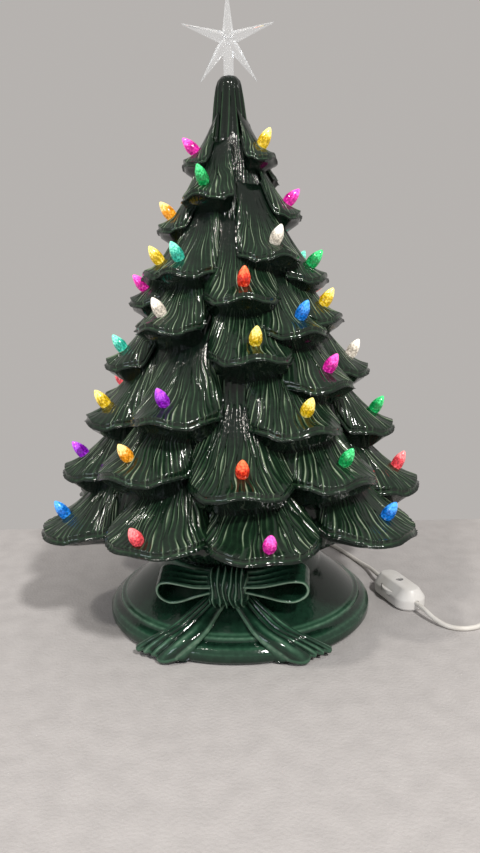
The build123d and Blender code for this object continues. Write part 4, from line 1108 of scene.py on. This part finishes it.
def bow_tail(side):
    """One tail: a pleated ribbon moulded on the base, whose hem hangs over the rim."""
    across = np.linspace(-1, 1, TAIL_COLUMNS)
    inner = -side * across
    share = np.linspace(0, 1, TAIL_ROWS)[:, None]
    sway = inner + TAIL_SWAY * np.sin(6.5 * share + 2.0 * side + 1.5 * inner) * (1 - np.abs(inner))
    pleat, ridge, hem = 0 * sway, 0 * sway, 0 * inner
    for middle, width, size, length in TAIL_PLEATS:
        arch = np.maximum(1 - ((sway - middle) / width) ** 2, 0)
        pleat = np.maximum(pleat, size * np.sqrt(arch))
        ridge = np.maximum(ridge, arch**7)
        hem = np.maximum(hem, length - HEM_SCALLOP * ((inner - middle) / width) ** 2)
    reach = share * hem
    line, _ = smooth_line(TAIL_LINE, TAIL_STEPS)
    steps = np.linspace(0, 1, TAIL_STEPS)
    radius, height = (np.interp(reach, steps, axis) for axis in line.T)
    slope_r, slope_z = (np.interp(reach, steps, np.gradient(axis)) for axis in line.T)
    size = np.hypot(slope_r, slope_z)
    normal_r, normal_z = -slope_z / size, slope_r / size
    lift = (TAIL_LIFT[0] + TAIL_LIFT[1] * share**1.1) * (pleat - 0.50)
    # The ridges' paleness wavers along them, as painted highlights over the glaze breaking pale.
    crest = 0.12 + RIDGE_PALE * ridge * (0.65 + 0.35 * np.sin(9 * share + 3 * sway))
    crest = np.maximum(crest, rise(np.abs(inner), 0.93, 0.06) * EDGE_PALE)
    crest = np.maximum(crest, rise(share, 0.965, 0.035) * HEM_PALE)
    half = TAIL_HALF_WIDTH[0] + (TAIL_HALF_WIDTH[1] - TAIL_HALF_WIDTH[0]) * share
    first_turn, last_turn = TAIL_TURN[side]
    middle = BOW_TURN + side * (first_turn + (last_turn - first_turn) * reach)
    bed_radius, bed_height = zip(*TAIL_BED)
    swing = side * TAIL_SWING * share * np.sin(TAIL_WAVES * share)

    def sheet(rise, grow, push):
        """The sheet's points, raised along its normal, widened at its edges and pushed on past its hem."""
        out = radius + normal_r * rise + slope_r / size * push
        up = height + normal_z * rise + slope_z / size * push
        sideways = across * (half + grow) + swing
        x = out * np.sin(middle) + sideways * np.cos(middle)
        y = sideways * np.sin(middle) - out * np.cos(middle)
        return np.dstack([x, y, up])

    top = sheet(lift, 0.0, 0.0)
    edge = sheet(lift - EDGE_DROP, EDGE_GROW, 0.0)
    low = sheet(lift - 2 * TAIL_HEM, 0.0, 0.0)
    bed = np.interp(np.hypot(low[:, :, 0], low[:, :, 1]), bed_radius, bed_height)
    low[:, :, 2] = np.minimum(low[:, :, 2], bed - CLEARANCE)
    loop = np.concatenate([top, edge[:, -1:], low[:, ::-1], edge[:, :1]], axis=1)
    values = np.concatenate([crest, crest[:, -1:], 0 * crest, crest[:, :1]], axis=1)
    rounding, pale = [], []
    for angle in np.linspace(0, math.pi / 2, 6)[1:-1]:
        shrink, push = TAIL_HEM * (1 - math.cos(angle)), TAIL_HEM * math.sin(angle)
        above = sheet(lift - shrink, 0.0, push)[-1:]
        below = sheet(lift - 2 * TAIL_HEM + shrink, 0.0, push)[-1:]
        rim = sheet(lift - EDGE_DROP - 0.5 * shrink, EDGE_GROW * math.cos(angle), push)[-1:]
        rounding.append(np.concatenate([above, rim[:, -1:], below[:, ::-1], rim[:, :1]], axis=1))
        pale.append(values[-1:] * math.cos(angle))
    loop = np.concatenate([loop] + rounding)
    loop[:, :, 2] = np.maximum(loop[:, :, 2], CLEARANCE)
    values = np.concatenate([values] + pale)
    return loop.reshape(-1, 3), tube_faces(*loop.shape[:2]), values


for side, word in BOW_SIDES:
    points, faces, crest = bow_tail(side)
    piece = make_mesh(f"bow_tail_{word}", points, faces, base_glaze, crest)
    hand_over(piece, "base", "base")

# %% [markdown]
# ## Lamp kit
# The lamp and its holder stand inside the base and show only when the tree is lifted. Their CAD solids have
# the right shapes, as have the plug and the rest of the switch, so they only need their finishes.

# %% Lamp kit
ivory_plastic = moulded("ivory_plastic", (0.78, 0.74, 0.64), (0.66, 0.61, 0.50), 0.40, 700.0, 0.0001)
brass_sheet = plated("brass_sheet", (0.80, 0.60, 0.27), (0.58, 0.42, 0.18), 0.30)
spring_steel = plated("spring_steel", (0.62, 0.62, 0.62), (0.45, 0.45, 0.46), 0.28)
cap_metal = plated("cap_metal", (0.74, 0.74, 0.72), (0.60, 0.60, 0.58), 0.32)
filament_wire = plated("filament_wire", (0.45, 0.44, 0.42), (0.32, 0.31, 0.30), 0.40)
lamp_glass, shader = start_material(
    "lamp_glass", Base_Color=(0.98, 0.98, 0.97, 1.0), Roughness=0.02, IOR=1.47, Transmission_Weight=1.0
)
seeds = add_noise(lamp_glass, scale=160.0, detail=2.0)
add_bump(lamp_glass, shader, seeds, strength=0.08, distance=0.0003)
tie_plastic = moulded("tie_plastic", (0.035, 0.035, 0.036), (0.02, 0.02, 0.02), 0.45, 900.0, 0.0001)
for node_name, material in {
    "lamp_holder": ivory_plastic,
    "screw_sleeve": brass_sheet,
    "centre_contact": brass_sheet,
    "spring_clips": spring_steel,
    "lamp_cap": cap_metal,
    "lamp_glass": lamp_glass,
    "lamp_stem": lamp_glass,
    "lamp_filament": filament_wire,
    "plug_blades": brass_sheet,
    "switch_screw": spring_steel,
    "switch_bottom": white_moulding,
    "switch_wheel": white_moulding,
    "plug_body": white_moulding,
    "coil_tie": tie_plastic,
}.items():
    finish_node(node_name, material)
print("lamp kit finished")

# %% [markdown]
# ## Switch cover
# The cover's sides slope from the parting line up to a long narrow pad. It is skinned from rings that shrink as
# they rise. Cutters open the room for the wheel, the screw's hole and the way for the lead.

# %% Switch cover
SWITCH_CENTRE = (0.142, -0.002)
SWITCH_TURN = math.radians(-72.5)
COVER_LEVELS = (
    (0.0080, 0.0290, 0.0140), (0.0096, 0.0290, 0.0140), (0.0104, 0.0287, 0.0136),
    (0.0174, 0.0252, 0.0084), (0.0181, 0.0246, 0.0077), (0.0185, 0.0238, 0.0068),
)
COVER_END_STEPS = 40
COVER_CUTTERS = ((0.0160, 0.0070, 0.0126), (0.0019, 0.0070, 0.0200), (0.0035, 0.0163, 0.0200))
LEAD_ROOM = 0.0023

bend = np.linspace(-math.pi / 2, math.pi / 2, COVER_END_STEPS)
rings = []
for height, half_length, half_width in COVER_LEVELS:
    along = half_length - half_width + half_width * np.cos(bend)
    across = half_width * np.sin(bend)
    along, across = np.concatenate([along, -along]), np.concatenate([across, -across])
    x = SWITCH_CENTRE[0] + along * math.cos(SWITCH_TURN) - across * math.sin(SWITCH_TURN)
    y = SWITCH_CENTRE[1] + along * math.sin(SWITCH_TURN) + across * math.cos(SWITCH_TURN)
    rings.append(np.column_stack([x, y, np.full(len(x), height)]))
faces = tube_faces(len(rings), len(rings[0]))
cover = make_mesh("switch_cover", np.vstack(rings), faces, white_moulding)
cutters = []
for radius, low, high in COVER_CUTTERS:
    bpy.ops.mesh.primitive_cylinder_add(
        vertices=64, radius=radius, depth=high - low, location=(*SWITCH_CENTRE, (low + high) / 2)
    )
    cutters.append(bpy.context.object)
bpy.ops.mesh.primitive_cylinder_add(
    vertices=32,
    radius=LEAD_ROOM,
    depth=0.08,
    location=(*SWITCH_CENTRE, COVER_LEVELS[0][0]),
    rotation=(0, math.pi / 2, SWITCH_TURN),
)
cutters.append(bpy.context.object)
for cutter in cutters:
    apply_modifier(cover, "BOOLEAN", object=cutter, operation="DIFFERENCE", solver="EXACT")
    bpy.data.objects.remove(cutter)
bpy.ops.object.shade_smooth_by_angle(angle=math.radians(35))
hand_over(cover, "base", "switch_top")

# %% [markdown]
# ## Cord facts
# The names of the two lengths of the lead are printed here, now that every piece on them is made.

# %% Cord facts
print("cords declared:", lead_cord.name, plug_cord.name)

# %% [markdown]
# ## Floor and light
# A plain pale floor ends a little way behind the lead, and beyond it lies the plain pale surround. A small
# ceiling light, a smaller lamp and a soft window from the left give the glaze something bright to reflect. The
# view is set to Standard, so that the lit plastics keep their strong colours.

# %% Floor
FLOOR_COLOUR = (0.53, 0.51, 0.505)
FLOOR_DIRT = 0.90
FLOOR_HALF_WIDTH = 2.0
FLOOR_BACK = 0.215
FLOOR_FRONT = -3.0
floor_dirt = tuple(FLOOR_DIRT * c for c in FLOOR_COLOUR)
floor_finish = moulded("floor_finish", FLOOR_COLOUR, floor_dirt, 0.85, 420.0, 0.002)
corners = [(x, y, 0) for x, y in ((-1, FLOOR_FRONT), (1, FLOOR_FRONT), (1, FLOOR_BACK), (-1, FLOOR_BACK))]
floor = make_mesh("floor", np.array(corners) * (FLOOR_HALF_WIDTH, 1, 1), [(0, 1, 2, 3)], floor_finish)
print("stage:", floor.name)

# %% Light
LIGHTS = (
    ("ceiling", (0.75, -1.50, 1.75), (0.0, 0.0, 0.2), 0.20, 36.0, (1.0, 0.97, 0.93)),
    ("lamp", (-0.55, -0.60, 1.30), (0.0, 0.0, 0.25), 0.10, 5.0, (1.0, 0.95, 0.88)),
    ("window", (-1.1, -1.1, 0.45), (0.0, 0.0, 0.2), 0.45, 3.5, (0.80, 0.88, 1.0)),
)
SURROUND = (0.468, 0.447, 0.430, 1.0)
for name, place, target, size, power, colour in LIGHTS:
    bpy.ops.object.light_add(type="AREA", location=place)
    lamp = bpy.context.object
    lamp.name = name
    lamp.data.size = size
    lamp.data.energy = power
    lamp.data.color = colour
    lamp.rotation_euler = (Vector(target) - Vector(place)).to_track_quat("-Z", "Y").to_euler()
world = bpy.data.worlds.new("studio")
bpy.context.scene.world = world
world.use_nodes = True
background = world.node_tree.nodes["Background"]
background.inputs["Color"].default_value = SURROUND
background.inputs["Strength"].default_value = 1.0
bpy.context.scene.view_settings.view_transform = "Standard"
print("lights:", len(LIGHTS))
